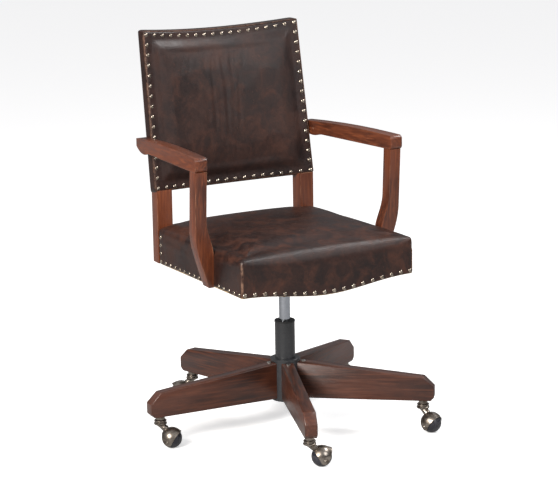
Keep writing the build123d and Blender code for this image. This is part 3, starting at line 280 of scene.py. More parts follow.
scratched = math_node(
    hide_tree,
    "MAXIMUM",
    between(hide_tree, first_scratches, 0.655, 0.70),
    between(hide_tree, second_scratches, 0.665, 0.71),
)
scratched = times(hide_tree, scratched, between(hide_tree, scratch_field, 0.5, 0.62))
scratched = times(hide_tree, scratched, math_node(hide_tree, "ADD", hide_in.outputs["Wear"], 0.12))
brown = mixed(hide_tree, scratched, brown, hide_in.outputs["Worn"])
mottle = node(
    hide_tree,
    "ShaderNodeMapRange",
    {"Value": hide_mottle, "From Min": 0.3, "From Max": 0.7, "To Min": 0.72, "To Max": 1.25},
).outputs["Result"]
mottled = node(
    hide_tree,
    "ShaderNodeVectorMath",
    {0: brown, "Scale": mottle},
    operation="SCALE",
).outputs["Vector"]
grain_cells = node(
    hide_tree, "ShaderNodeTexVoronoi", {
        "Vector": hide,
        "Scale": 620.0,
        "Randomness": 1.0,
    }, feature="DISTANCE_TO_EDGE"
).outputs["Distance"]
grain_height = between(hide_tree, grain_cells, 0.0, 0.22)
soft_height = noise_at(hide_tree, hide, 75.0, 4.0, 0.6)
hide_height = math_node(hide_tree, "ADD", times(hide_tree, grain_height, 0.25), soft_height)
hide_gloss = node(
    hide_tree,
    "ShaderNodeMapRange",
    {"Value": hide_patches, "From Min": 0.35, "From Max": 0.7, "To Min": 0.34, "To Max": 0.52},
).outputs["Result"]
hide_tree.links.new(mottled, hide_out.inputs["Color"])
hide_tree.links.new(hide_gloss, hide_out.inputs["Roughness"])
hide_tree.links.new(hide_height, hide_out.inputs["Height"])
print("group", hide_tree.name)

# %% [markdown]
# ## Tarnish for small metal parts
#
# Antique nickel and pewter are bright on the high spots and brown in the hollows. One group mixes a
# bright and a tarnished colour by noise, and gives a roughness that follows.

# %% The tarnish group
tarnish_tree, tarnish_in, tarnish_out = new_group(
    "tarnish",
    [
        ("Vector", "vector", None),
        ("Bright", "color", colour(0.6, 0.55, 0.45)),
        ("Tarnished", "color", colour(0.12, 0.09, 0.06)),
        ("Scale", "value", 60.0),
        ("Smoothest", "value", 0.22),
        ("Roughest", "value", 0.45),
    ],
    [("Color", "color"), ("Roughness", "value"), ("Height", "value")],
)
tarnish_noise = noise_at(
    tarnish_tree,
    tarnish_in.outputs["Vector"],
    tarnish_in.outputs["Scale"],
    6.0,
    0.62,
    0.3,
)
tarnish_mask = between(tarnish_tree, tarnish_noise, 0.38, 0.68)
tarnish_tone = mixed(
    tarnish_tree,
    tarnish_mask,
    tarnish_in.outputs["Bright"],
    tarnish_in.outputs["Tarnished"],
)
tarnish_rough = node(
    tarnish_tree,
    "ShaderNodeMapRange",
    {
        "Value": tarnish_mask,
        "To Min": tarnish_in.outputs["Smoothest"],
        "To Max": tarnish_in.outputs["Roughest"],
    },
).outputs["Result"]
tarnish_tree.links.new(tarnish_tone, tarnish_out.inputs["Color"])
tarnish_tree.links.new(tarnish_rough, tarnish_out.inputs["Roughness"])
tarnish_tree.links.new(tarnish_noise, tarnish_out.inputs["Height"])
print("group", tarnish_tree.name)

# %% [markdown]
# ## The finishes
#
# A material here is one Principled shader fed by a group. What doesn't change over the surface, such as
# the coat of lacquer, is set on the shader itself, so that it survives an export.


# %% Material helpers
def new_material(name, **fixed):
    """A material with one Principled shader: returns it, its tree and the shader."""
    material = bpy.data.materials.new(name)
    material.use_nodes = True
    tree = material.node_tree
    shader = tree.nodes["Principled BSDF"]
    for socket, value in fixed.items():
        shader.inputs[socket.replace("_", " ")].default_value = value
    return material, tree, shader


def object_vector(tree):
    """Object coordinates."""
    return node(tree, "ShaderNodeTexCoord").outputs["Object"]


def grouped(tree, group, inputs):
    """A node group placed in a material."""
    made = tree.nodes.new("ShaderNodeGroup")
    made.node_tree = group
    for key, value in inputs.items():
        if isinstance(value, bpy.types.NodeSocket):
            tree.links.new(value, made.inputs[key])
        else:
            made.inputs[key].default_value = value
    return made.outputs


def bumped(tree, shader, height, strength, distance):
    """Feeds a height to the shader's normal."""
    inputs = {"Height": height, "Strength": strength, "Distance": distance}
    tree.links.new(node(tree, "ShaderNodeBump", inputs).outputs["Normal"], shader.inputs["Normal"])


# %% Wood finishes, one for each direction of grain
quarter = math.pi / 2


def wood_material(name, turn, tones, worn_tone, wear_amount, cloudiness=1.0, attribute=None):
    """Lacquered wood whose grain runs along X after the turn. An attribute may stand for the coordinates."""
    material, tree, shader = new_material(
        name,
        Coat_Weight=0.35,
        Coat_Roughness=0.22,
        Specular_IOR_Level=0.45,
    )
    if attribute:
        vector = node(tree, "ShaderNodeAttribute", attribute_name=attribute).outputs["Vector"]
    else:
        vector = node(
            tree,
            "ShaderNodeMapping",
            {"Vector": object_vector(tree), "Rotation": turn},
        ).outputs["Vector"]
    dark, middle, light = tones
    inputs = {"Vector": vector, "Dark": dark, "Middle": middle, "Light": light, "Cloudiness": cloudiness}
    wood = grouped(tree, wood_tree, inputs)
    wear_inputs = {"Vector": vector, "Radius": 0.0035, "Amount": wear_amount, "Patchiness": 26.0}
    mask = grouped(tree, edge_wear, wear_inputs)["Mask"]
    tree.links.new(mixed(tree, mask, wood["Color"], worn_tone), shader.inputs["Base Color"])
    tree.links.new(wood["Roughness"], shader.inputs["Roughness"])
    bumped(tree, shader, wood["Height"], 0.25, 0.0004)
    return material


red_tones = (colour(0.050, 0.013, 0.006), colour(0.120, 0.030, 0.011), colour(0.190, 0.050, 0.017))
worn_wood = colour(0.42, 0.22, 0.12)
wood_along_y = wood_material("red wood, grain along the arms", (0, 0, quarter), red_tones, worn_wood, 0.55)
wood_upright = wood_material("red wood, grain upright", (0, quarter, 0), red_tones, worn_wood, 0.65)
leg_tones = (colour(0.026, 0.009, 0.006), colour(0.068, 0.020, 0.010), colour(0.105, 0.032, 0.015))
leg_wood = wood_material("dark red wood of the legs", (0, 0, 0), leg_tones, worn_wood, 0.8, 1.0, "grain")
frame_tones = (colour(0.25, 0.16, 0.08), colour(0.45, 0.32, 0.18), colour(0.55, 0.42, 0.26))
frame_wood = wood_material("plain frame wood", (0, 0, 0), frame_tones, worn_wood, 0.0)
print("wood finishes ready")


# %% Leather finish
def leather_material(name):
    """Waxed leather: worn where the piece's wear attribute says, and along its edges."""
    material, tree, shader = new_material(
        name,
        Coat_Weight=0.10,
        Coat_Roughness=0.3,
        Specular_IOR_Level=0.38,
    )
    vector = object_vector(tree)
    wear = node(tree, "ShaderNodeAttribute", attribute_name="wear").outputs["Fac"]
    hide_outputs = grouped(tree, hide_tree, {"Vector": vector, "Wear": wear})
    rubbed = node(tree, "ShaderNodeAttribute", attribute_name="rubbed").outputs["Fac"]
    breakup = between(tree, noise_at(tree, vector, 85.0, 6.0, 0.7), 0.36, 0.6)
    rubbed = times(tree, rubbed, breakup)
    tone = mixed(tree, rubbed, hide_outputs["Color"], colour(0.4, 0.22, 0.14))
    tree.links.new(tone, shader.inputs["Base Color"])
    tree.links.new(hide_outputs["Roughness"], shader.inputs["Roughness"])
    bumped(tree, shader, hide_outputs["Height"], 0.35, 0.0007)
    return material


leather = leather_material("waxed brown leather")
print("leather ready")


# %% Metal, plastic and cloth finishes
def tarnished_metal(name, bright, tarnished, scale, smoothest, roughest, bump=0.0):
    """Metal with patches of tarnish."""
    material, tree, shader = new_material(name, Metallic=1.0)
    inputs = {
        "Vector": object_vector(tree),
        "Bright": bright,
        "Tarnished": tarnished,
        "Scale": scale,
        "Smoothest": smoothest,
        "Roughest": roughest,
    }
    patina = grouped(tree, tarnish_tree, inputs)
    tree.links.new(patina["Color"], shader.inputs["Base Color"])
    tree.links.new(patina["Roughness"], shader.inputs["Roughness"])
    if bump:
        bumped(tree, shader, patina["Height"], bump, 0.0005)
    return material


def speckled(name, tone, second_tone, scale, smoothest, roughest, bump, distance, **fixed):
    """Painted metal, plastic or rubber: a fine speckle of two close tones over an even skin."""
    material, tree, shader = new_material(name, **fixed)
    inputs = {
        "Vector": object_vector(tree),
        "Bright": tone,
        "Tarnished": second_tone,
        "Scale": scale,
        "Smoothest": smoothest,
        "Roughest": roughest,
    }
    skin = grouped(tree, tarnish_tree, inputs)
    tree.links.new(skin["Color"], shader.inputs["Base Color"])
    tree.links.new(skin["Roughness"], shader.inputs["Roughness"])
    bumped(tree, shader, skin["Height"], bump, distance)
    return material


pewter = tarnished_metal(
    "antique pewter",
    colour(0.34, 0.30, 0.26),
    colour(0.13, 0.105, 0.085),
    75.0,
    0.24,
    0.42,
    0.15,
)
nail_metal = tarnished_metal(
    "antique nickel",
    colour(0.46, 0.40, 0.33),
    colour(0.17, 0.13, 0.10),
    140.0,
    0.2,
    0.34,
)
chrome = tarnished_metal(
    "polished chrome",
    colour(0.40, 0.42, 0.46),
    colour(0.30, 0.32, 0.35),
    30.0,
    0.06,
    0.11,
)
zinc = tarnished_metal(
    "zinc plated steel",
    colour(0.62, 0.62, 0.60),
    colour(0.46, 0.45, 0.42),
    55.0,
    0.28,
    0.42,
    0.1,
)
black_steel = speckled(
    "satin black steel", colour(0.020, 0.021, 0.024), colour(
        0.034,
        0.035,
        0.038,
    ), 300.0, 0.34, 0.44, 0.12, 0.0002,
    Coat_Weight=0.15, Coat_Roughness=0.3,
)
black_plastic = speckled(
    "moulded black plastic", colour(
        0.012,
        0.012,
        0.013,
    ), colour(0.02, 0.02, 0.021), 700.0, 0.42, 0.55, 0.3, 0.0002
)
ball_black = speckled(
    "scuffed black ball", colour(0.014, 0.014, 0.020), colour(
        0.035,
        0.034,
        0.042,
    ), 90.0, 0.22, 0.48, 0.1, 0.0003,
    Coat_Weight=0.2, Coat_Roughness=0.2,
)
rubber = speckled(
    "black rubber",
    colour(0.012, 0.012, 0.012),
    colour(0.02, 0.02, 0.02),
    500.0,
    0.6,
    0.75,
    0.2,
    0.0002,
)
foam = speckled(
    "cream foam",
    colour(0.66, 0.58, 0.42),
    colour(0.5, 0.42, 0.28),
    400.0,
    0.85,
    0.95,
    0.6,
    0.001,
)


def woven_cloth(name, tone, gap_tone, thread):
    """A plain weave: two sets of sine waves, crossed, at the thread's spacing."""
    material, tree, shader = new_material(name, Sheen_Weight=0.3, Specular_IOR_Level=0.2)
    parts = node(tree, "ShaderNodeSeparateXYZ", {0: object_vector(tree)}).outputs
    waves = []
    for axis in ("X", "Y"):
        turned = times(tree, parts[axis], 2 * math.pi / thread)
        waves.append(math_node(tree, "ABSOLUTE", math_node(tree, "SINE", turned)))
    weave = times(tree, waves[0], waves[1])
    tree.links.new(mixed(tree, weave, gap_tone, tone), shader.inputs["Base Color"])
    shader.inputs["Roughness"].default_value = 0.9
    bumped(tree, shader, weave, 0.5, 0.0004)
    return material


black_cloth = woven_cloth("black cambric", colour(0.018, 0.018, 0.019), colour(0.006, 0.006, 0.006), 0.0022)
webbing_cloth = woven_cloth("jute webbing", colour(0.3, 0.22, 0.12), colour(0.12, 0.08, 0.04), 0.004)
print("materials made", len(bpy.data.materials))

# %% [markdown]
# ## Pieces, and where they go
#
# A finished piece sits at the origin with its place in its mesh, wears one material, rides on one body
# and may stand for CAD nodes. These helpers do that the same way for every piece.

# %% Piece helpers
def add_piece(name, mesh, material, body, stands_for=()):
    """An object from a mesh, on a body, in place of the CAD nodes named."""
    piece = bpy.data.objects.new(name, mesh)
    bpy.context.scene.collection.objects.link(piece)
    if material:
        mesh.materials.clear()
        mesh.materials.append(material)
    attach(piece, body)
    if stands_for:
        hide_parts(*stands_for)
    return piece


def plain_mesh(piece):
    """The evaluated mesh of an object whose modifiers have run."""
    depsgraph = bpy.context.evaluated_depsgraph_get()
    made = bpy.data.meshes.new_from_object(piece.evaluated_get(depsgraph), depsgraph=depsgraph)
    return made


def worked(mesh, modifiers):
    """A mesh put through modifiers, given as (type, settings) pairs."""
    holder = bpy.data.objects.new("holder", mesh)
    bpy.context.scene.collection.objects.link(holder)
    for kind, settings in modifiers:
        modifier = holder.modifiers.new(kind.lower(), kind)
        for key, value in settings.items():
            setattr(modifier, key, value)
    made = plain_mesh(holder)
    bpy.data.objects.remove(holder)
    return made


def from_bmesh(shape, name, smooth_angle=None):
    """A mesh from a bmesh, smooth shaded, with edges over an angle kept sharp."""
    mesh = bpy.data.meshes.new(name)
    shape.to_mesh(mesh)
    shape.free()
    mesh.shade_smooth()
    if smooth_angle is not None:
        mesh.set_sharp_from_angle(angle=math.radians(smooth_angle))
    return mesh


def coordinates(mesh):
    """The mesh's points as an array."""
    points = np.zeros(len(mesh.vertices) * 3)
    mesh.vertices.foreach_get("co", points)
    return points.reshape(-1, 3)


def set_coordinates(mesh, points):
    """Moves the mesh's points."""
    mesh.vertices.foreach_set("co", points.astype(np.float32).ravel())
    mesh.update()


def store(mesh, name, values):
    """Writes one number for each point as an attribute."""
    attribute = mesh.attributes.get(name) or mesh.attributes.new(name, "FLOAT", "POINT")
    attribute.data.foreach_set("value", np.asarray(values, np.float32))


def step_between(value, low, high):
    """A smooth step from 0 at low to 1 at high, on arrays."""
    share = np.clip((value - low) / (high - low), 0, 1)
    return share * share * (3 - 2 * share)


# %% [markdown]
# ## Wooden arms and posts with eased edges
#
# The CAD arms, arm posts and rear posts have the right shape but knife-sharp edges. A real one is sanded.
# A copy of each CAD mesh is cleaned up, so that flat faces are single faces again, and a Bevel rounds the
# edges.

# %% Ease the wood's edges
def eased(node_name, width, segments=3):
    """A copy of a CAD node's mesh with rounded edges."""
    shape = bmesh.new()
    shape.from_mesh(frame["nodes"][node_name].data)
    bmesh.ops.remove_doubles(shape, verts=shape.verts, dist=1e-6)
    bmesh.ops.dissolve_limit(shape, angle_limit=math.radians(0.6), verts=shape.verts, edges=shape.edges)
    mesh = from_bmesh(shape, node_name + "_eased")
    settings = {
        "width": width,
        "segments": segments,
        "limit_method": "ANGLE",
        "angle_limit": math.radians(32),
        "harden_normals": True,
    }
    return worked(mesh, [("BEVEL", settings)])


wooden_parts = {
    "left_arm": (wood_along_y, 0.0040),
    "right_arm": (wood_along_y, 0.0040),
    "left_arm_post": (wood_upright, 0.0028),
    "right_arm_post": (wood_upright, 0.0028),
    "left_rear_post": (wood_upright, 0.0025),
    "right_rear_post": (wood_upright, 0.0025),
}
for node_name, (material, width) in wooden_parts.items():
    part = add_piece(
        node_name + "_wood",
        eased(node_name, width),
        material,
        "seat",
        [node_name],
    )
    print(part.name, "faces", len(part.data.polygons))

# %% [markdown]
# ## Five legs from one outline
#
# All five legs are one blade turned about the swivel axis, so a Geometry Nodes tree makes them: it rounds
# the outline's corners, fills and thickens it, keeps the place on the blade as an attribute for the
# grain, and sets it round the hub. Five copies made by hand would drift apart at the first change of
# size.

# %% The star base tree
def tree_with(name, sockets):
    """A Geometry Nodes tree with named inputs."""
    tree = bpy.data.node_groups.new(name, "GeometryNodeTree")
    tree.interface.new_socket("Geometry", in_out="INPUT", socket_type="NodeSocketGeometry")
    for title, kind in sockets:
        tree.interface.new_socket(title, in_out="INPUT", socket_type="NodeSocket" + kind)
    tree.interface.new_socket("Geometry", in_out="OUTPUT", socket_type="NodeSocketGeometry")
    return tree, tree.nodes.new("NodeGroupInput").outputs, tree.nodes.new("NodeGroupOutput").inputs


def grown(mesh, tree, values, extra=()):
    """Runs a tree on a mesh with its named inputs set, and returns the plain mesh."""
    holder = bpy.data.objects.new("grower", mesh)
    bpy.context.scene.collection.objects.link(holder)
    modifier = holder.modifiers.new("grow", "NODES")
    modifier.node_group = tree
    for item in tree.interface.items_tree:
        if item.in_out == "INPUT" and item.name in values:
            modifier[item.identifier] = values[item.name]
    for kind, settings in extra:
        added = holder.modifiers.new(kind.lower(), kind)
        for key, value in settings.items():
            setattr(added, key, value)
    made = plain_mesh(holder)
    bpy.data.objects.remove(holder)
    return made


star, star_in, star_out = tree_with(
    "star base",
    [
        ("Leg Count", "Int"),
        ("First Angle", "Float"),
        ("Thickness", "Float"),
        ("Corner Round", "Float"),
        ("Seed", "Int"),
        ("Material", "Material"),
    ],
)
outline = node(star, "GeometryNodeMeshToCurve", {"Mesh": star_in["Geometry"]}).outputs[0]
softened = node(
    star,
    "GeometryNodeFilletCurve",
    {"Curve": outline, "Radius": star_in["Corner Round"], "Count": 5, "Limit Radius": True},
    mode="POLY",
).outputs[0]
blade = node(star, "GeometryNodeFillCurve", {"Curve": softened}, mode="NGONS").outputs[0]
offset = node(star, "ShaderNodeCombineXYZ", {2: star_in["Thickness"]}).outputs[0]
raised = node(
    star,
    "GeometryNodeExtrudeMesh",
    {"Mesh": blade, "Offset": offset, "Individual": False},
).outputs[0]
underside = node(star, "GeometryNodeFlipFaces", {"Mesh": blade}).outputs[0]
joined = star.nodes.new("GeometryNodeJoinGeometry")
star.links.new(raised, joined.inputs[0])
star.links.new(underside, joined.inputs[0])
closed = node(
    star,
    "GeometryNodeMergeByDistance",
    {"Geometry": joined.outputs[0], "Distance": 1e-5},
).outputs[0]
half_back = times(star, star_in["Thickness"], -0.5)
centred = node(
    star,
    "GeometryNodeTransform",
    {"Geometry": closed, "Translation": node(star, "ShaderNodeCombineXYZ", {2: half_back}).outputs[0]},
).outputs[0]
place = node(star, "GeometryNodeInputPosition").outputs[0]
marked = node(
    star,
    "GeometryNodeStoreNamedAttribute",
    {"Geometry": centred, "Name": "blade_place", "Value": place},
    data_type="FLOAT_VECTOR",
    domain="POINT",
).outputs[0]
stood = node(
    star, "GeometryNodeTransform", {"Geometry": marked, "Rotation": (quarter, 0.0, 0.0)}
).outputs[0]
spots = node(star, "GeometryNodePoints", {"Count": star_in["Leg Count"]}).outputs[0]
index = node(star, "GeometryNodeInputIndex").outputs[0]
turn_each = math_node(star, "DIVIDE", 2 * math.pi, star_in["Leg Count"])
turned = times(star, index, turn_each)
turned = math_node(star, "ADD", turned, star_in["First Angle"])
legs = node(
    star,
    "GeometryNodeInstanceOnPoints",
    {
        "Points": spots,
        "Instance": stood,
        "Rotation": node(star, "ShaderNodeCombineXYZ", {2: turned}).outputs[0],
    },
).outputs[0]
board = node(
    star,
    "FunctionNodeRandomValue",
    {"Min": (0.0, 0.0, 0.0), "Max": (3.0, 3.0, 3.0), "Seed": star_in["Seed"]},
    data_type="FLOAT_VECTOR",
).outputs[0]
legs = node(
    star,
    "GeometryNodeStoreNamedAttribute",
    {"Geometry": legs, "Name": "board", "Value": board},
    data_type="FLOAT_VECTOR",
    domain="INSTANCE",
).outputs[0]
legs = node(star, "GeometryNodeRealizeInstances", {"Geometry": legs}).outputs[0]
named = [
    node(star, "GeometryNodeInputNamedAttribute", {"Name": name}, data_type="FLOAT_VECTOR").outputs[0]
    for name in ("blade_place", "board")
]
grain_place = node(star, "ShaderNodeVectorMath", {0: named[0], 1: named[1]}, operation="ADD").outputs[0]
legs = node(
    star,
    "GeometryNodeStoreNamedAttribute",
    {"Geometry": legs, "Name": "grain", "Value": grain_place},
    data_type="FLOAT_VECTOR",
    domain="POINT",
).outputs[0]
legs = node(star, "GeometryNodeSetMaterial", {"Geometry": legs, "Material": star_in["Material"]}).outputs[0]
star.links.new(legs, star_out["Geometry"])

# %% Grow the legs
stem_spots = [Vector(joints[f"caster_swivel_{k}"]["pos_m"]) for k in range(1, 6)]
first_leg = math.atan2(stem_spots[0].y, stem_spots[0].x)
leg_low, leg_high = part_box("leg_1")
stem_radius = math.hypot(stem_spots[0].x, stem_spots[0].y)
hub_radius = 0.036
leg_overhang = 0.029
nose_length = 0.026
nose_drop = 0.025
tip_height = 0.139
toe_chamfer = 0.009
leg_end = stem_radius + leg_overhang
side_outline = [
    (hub_radius - 0.006, leg_low.z),
    (leg_end - toe_chamfer, leg_low.z),
    (leg_end, leg_low.z + toe_chamfer),
    (leg_end, tip_height - nose_drop),
    (leg_end - nose_length, tip_height),
    (hub_radius - 0.006, leg_high.z),
]
outline_mesh = bpy.data.meshes.new("leg_outline")
corner_count = len(side_outline)
outline_edges = [(i, (i + 1) % corner_count) for i in range(corner_count)]
outline_mesh.from_pydata([(x, z, 0) for x, z in side_outline], outline_edges, [])
star_values = {
    "Leg Count": 5,
    "First Angle": first_leg,
    "Thickness": 0.031,
    "Corner Round": 0.006,
    "Seed": 4,
    "Material": leg_wood,
}
leg_edges = {
    "width": 0.0024,
    "segments": 3,
    "limit_method": "ANGLE",
    "angle_limit": math.radians(40),
    "harden_normals": True,
}
leg_mesh = grown(outline_mesh, star, star_values, [("BEVEL", leg_edges)])
leg_mesh.shade_smooth()
add_piece("star_legs", leg_mesh, None, "base", [f"leg_{k}" for k in range(1, 6)])
print("legs faces", len(leg_mesh.polygons), "reach", round(leg_end, 3))

# %% [markdown]
# ## Turned parts
#
# Collars, balls, bushes and rivets are all turned shapes: a half section spun about an axis. One helper
# spins the collars, balls, rivets and screw heads; the bush keeps its CAD shape. Adding cylinders together
# would leave hard steps where the real part has small rounded ones.

# %% The lathe
def lathe(section, place, steps=56, smooth_angle=38):
    """Spins a half section of (radius, height) points about the Z axis of a placement matrix."""
    shape = bmesh.new()
    rings = []
    for radius, level in section:
        if radius < 1e-7:
            rings.append([shape.verts.new(place @ Vector((0, 0, level)))])
            continue
        ring = []
        for i in range(steps):
            angle = 2 * math.pi * i / steps
            point = Vector((radius * math.cos(angle), radius * math.sin(angle), level))
            ring.append(shape.verts.new(place @ point))
        rings.append(ring)
    for low, high in zip(rings, rings[1:]):
        for i in range(steps):
            j = (i + 1) % steps
            corners = [low[i % len(low)], low[j % len(low)], high[j % len(high)], high[i % len(high)]]
            unique = list(dict.fromkeys(corners))
            if len(unique) > 2:
                shape.faces.new(unique)
    bmesh.ops.recalc_face_normals(shape, faces=shape.faces)
    return from_bmesh(shape, "turned", smooth_angle)


def merged(meshes, name):
    """Several meshes as one."""
    shape = bmesh.new()
    for mesh in meshes:
        shape.from_mesh(mesh)
        bpy.data.meshes.remove(mesh)
    return from_bmesh(shape, name, 38)


# %% [markdown]
# ## Hooded ball casters
#
# Each caster is a ball under a metal hood. The hood is a thin dome cut by two steep planes, which leaves
# a rounded tongue over each end of the axle and a peak in front. Its rim is worked out for each direction
# round the dome, because a boolean cut would leave a rim too thin to shade well.

# %% The hood's dome
ball_radius = 0.025
dome_radius = 0.0272
dome_wall = 0.0016
tongue_half = 0.0095
rim_rise = 1.75             # how much the rim climbs for each metre away from the axle
peak_flare = 0.0042


def rim_level(x):
    """Height of the hood's rim over the axle, at a distance in front of it or behind it."""
    away = abs(x)
    if away < tongue_half:
        return -0.0035 - math.sqrt(tongue_half**2 - away**2) * 0.75
    return -0.0035 + rim_rise * (away - tongue_half)


def dome_point(angle, lift, radius):
    """A point on the dome: angle from the heading, lift from the level, in radians."""
    flat = math.cos(lift)
    return Vector((radius * flat * math.cos(angle), radius * flat * math.sin(angle), radius * math.sin(lift)))


def rim_lift(angle):
    """The lowest lift that the hood reaches at an angle, found by walking down the dome."""
    lift = math.pi / 2
    while lift > -math.pi / 3:
        point = dome_point(angle, lift, dome_radius)
        if point.z < rim_level(point.x):
            break
        lift -= 0.004
    return lift


def hood_mesh(place, columns=88, rows=20):
    """The dome with its two tongues and its flared peak, and a wall of even thickness."""
    shape = bmesh.new()
    top = shape.verts.new(place @ Vector((0, 0, dome_radius)))
    grid = []
    for i in range(columns):
        angle = 2 * math.pi * i / columns
        low = rim_lift(angle)
        flare = peak_flare * max(0.0, math.cos(angle)) ** 6
        column = []
        for j in range(1, rows + 1):
            share = j / rows
            lift = math.pi / 2 + (low - math.pi / 2) * share
            radius = dome_radius + flare * share**3 + 0.0006 * share**16
            column.append(shape.verts.new(place @ dome_point(angle, lift, radius)))
        grid.append(column)
    for i in range(columns):
        here, there = grid[i], grid[(i + 1) % columns]
        shape.faces.new((top, here[0], there[0]))
        for j in range(rows - 1):
            shape.faces.new((here[j], here[j + 1], there[j + 1], there[j]))
    bmesh.ops.recalc_face_normals(shape, faces=shape.faces)
    shell = from_bmesh(shape, "dome", 50)
    return worked(shell, [("SOLIDIFY", {"thickness": dome_wall, "offset": -1.0}), ("BEVEL", {
        "width": 0.0004, "segments": 2, "limit_method": "ANGLE", "angle_limit": math.radians(50)})])


# %% The neck, the collar, the rivets and the ball
collar_section = [
    (0.0062, 0.0568), (0.0135, 0.0568), (0.0152, 0.0576), (0.0160, 0.0590), (0.0160, 0.0612),
    (0.0150, 0.0624), (0.0132, 0.0628), (0.0128, 0.0645), (0.0148, 0.0655), (0.0154, 0.0668),
    (0.0150, 0.0684), (0.0136, 0.0693), (0.0062, 0.0693),
]
rivet_section = [
    (0.0, 0.0302),
    (0.0016, 0.0300),
    (0.0030, 0.0294),
    (0.0039, 0.0285),
    (0.0044, 0.0272),
    (0.0044, 0.0258),
]


def neck_mesh(stem, ball, heading):
    """A tapering neck from under the collar down to the dome's shoulder."""
    shape = bmesh.new()
    steps = 28
    levels = 7
    start = stem + Vector((0, 0, 0.0572))
    outward = (start + heading * 0.006 - ball).normalized()
    landing = ball + outward * (dome_radius + 0.0006)
    side = Vector((0, 0, 1)).cross(heading)
    rings = []
    for level in range(levels):
        share = level / (levels - 1)
        centre = start.lerp(landing, share)
        radius = 0.0132 - 0.0036 * math.sin(math.pi * min(share, 0.6)) - 0.0008 * share
        tilt = heading.lerp(side.cross(outward), share).normalized()
        ring = []
        for i in range(steps):
            angle = 2 * math.pi * i / steps
            point = centre + side * radius * math.cos(angle) + tilt * radius * math.sin(angle)
            if level == levels - 1:
                point = ball + (point - ball).normalized() * (dome_radius - dome_wall * 0.6)
            ring.append(shape.verts.new(point))
        rings.append(ring)
    for low, high in zip(rings, rings[1:]):
        for i in range(steps):
            j = (i + 1) % steps
            shape.faces.new((low[i], low[j], high[j], high[i]))
    for ring in (rings[0], rings[-1]):
        shape.faces.new(ring)
    bmesh.ops.recalc_face_normals(shape, faces=shape.faces)
    return from_bmesh(shape, "neck", 60)


def ball_section():
    """Half section of the ball: two halves with a fine parting groove between them."""
    points = []
    count = 44
    for i in range(count + 1):
        angle = -math.pi / 2 + math.pi * i / count
        radius = ball_radius - 0.0003 * math.exp(-((angle / 0.03) ** 2))
        points.append((radius * math.cos(angle), radius * math.sin(angle)))
    points[0] = (0.0, points[0][1])
    points[-1] = (0.0, points[-1][1])
    return points


for k in range(1, 6):
    stem = Vector(joints[f"caster_swivel_{k}"]["pos_m"])
    roll = joints[f"ball_roll_{k}"]
    ball = Vector(roll["pos_m"])
    axle = Vector(roll["axis"]).normalized()
    stem = Vector((stem.x, stem.y, 0))
    heading = (Vector((ball.x, ball.y, 0)) - stem).normalized()
    crosswise = -axle
    upward = heading.cross(crosswise)
    hood_frame = Matrix((heading, crosswise, upward)).transposed().to_4x4()
    hood_frame.translation = ball
    axle_frame = Matrix((heading, axle.cross(heading), axle)).transposed().to_4x4()
    axle_frame.translation = ball
    stem_frame = Matrix.Translation(stem)
    far_frame = axle_frame @ Matrix.Rotation(math.pi, 4, "X")
    parts = [hood_mesh(hood_frame), neck_mesh(stem, ball, heading), lathe(collar_section, stem_frame, 48)]
    hood_name = f"caster_hood_{k}_shell"
    add_piece(hood_name, merged(parts, hood_name), pewter, f"hood_{k}", [f"caster_hood_{k}"])
    rivets = [lathe(rivet_section, axle_frame, 24), lathe(rivet_section, far_frame, 24)]
    pin = lathe([(0.0, -0.027), (0.003, -0.027), (0.003, 0.027), (0.0, 0.027)], axle_frame, 24)
    rivet_name = f"caster_axle_{k}_rivets"
    add_piece(
        rivet_name,
        merged(rivets + [pin], rivet_name),
        pewter,
        f"hood_{k}",
        [f"caster_axle_{k}"],
    )
    add_piece(
        f"caster_ball_{k}_turned", lathe(
            ball_section(),
            axle_frame,
            64,
            180,
        ), ball_black, f"ball_{k}",
        [f"caster_ball_{k}"],
    )
print("casters dressed", k)

# %% [markdown]
# ## Finishes on the CAD pieces that show as they are
#
# Flat steel, frame wood and plain cloth already have their real shape. They only need a finish, so each
# CAD mesh gets a material and is otherwise left alone.

# %% Finish the metal, cloth and frame wood
finishes = [
    (black_steel, ["hub", "outer_column", "mechanism_housing", "seat_plate"]),
    (black_plastic, ["column_bush", "lever_grip", "tension_knob"]),
    (chrome, ["gas_cylinder", "piston_rod"]),
    (
        zinc,
        ["thrust_bearing", "retaining_clip", "release_pin", "tilt_shaft", "tension_spring", "spring_plate"],
    ),
    (zinc, ["height_lever", "plate_screws", "arm_screws", "caster_sockets"]),
    (pewter, ["caster_stems"]),
    (rubber, ["bump_rubber"]),
    (foam, ["seat_foam", "back_pad"]),
    (webbing_cloth, ["seat_webbing"]),
    (black_cloth, ["dust_cover"]),
    (frame_wood, ["seat_rails", "corner_blocks", "mechanism_cleats", "back_board"]),
]
for material, names in finishes:
    for name in names:
        mesh = frame["nodes"][name].data
        mesh.materials.clear()
        mesh.materials.append(material)
print("CAD pieces finished", sum(len(names) for _, names in finishes))

# %% [markdown]
# ## Leather blown up by cloth simulation
#
# A cushion starts as a plain block, remeshed into small even squares so that it can bend anywhere. Its
# edges are rounded, then a cloth simulation blows air into it while the nailed edges stay pinned. The
# movement is capped, so that a piece can't swell past its frame.

# %% Cushion helpers
def prism(plan, low, high):
    """A closed block over a plan polygon."""
    shape = bmesh.new()
    bottom = [shape.verts.new((x, y, low)) for x, y in plan]
    top = [shape.verts.new((x, y, high)) for x, y in plan]
    shape.faces.new(bottom)
    shape.faces.new(top)
    for i in range(len(plan)):
        j = (i + 1) % len(plan)
        shape.faces.new((bottom[i], bottom[j], top[j], top[i]))
    bmesh.ops.recalc_face_normals(shape, faces=shape.faces)
    return from_bmesh(shape, "block")


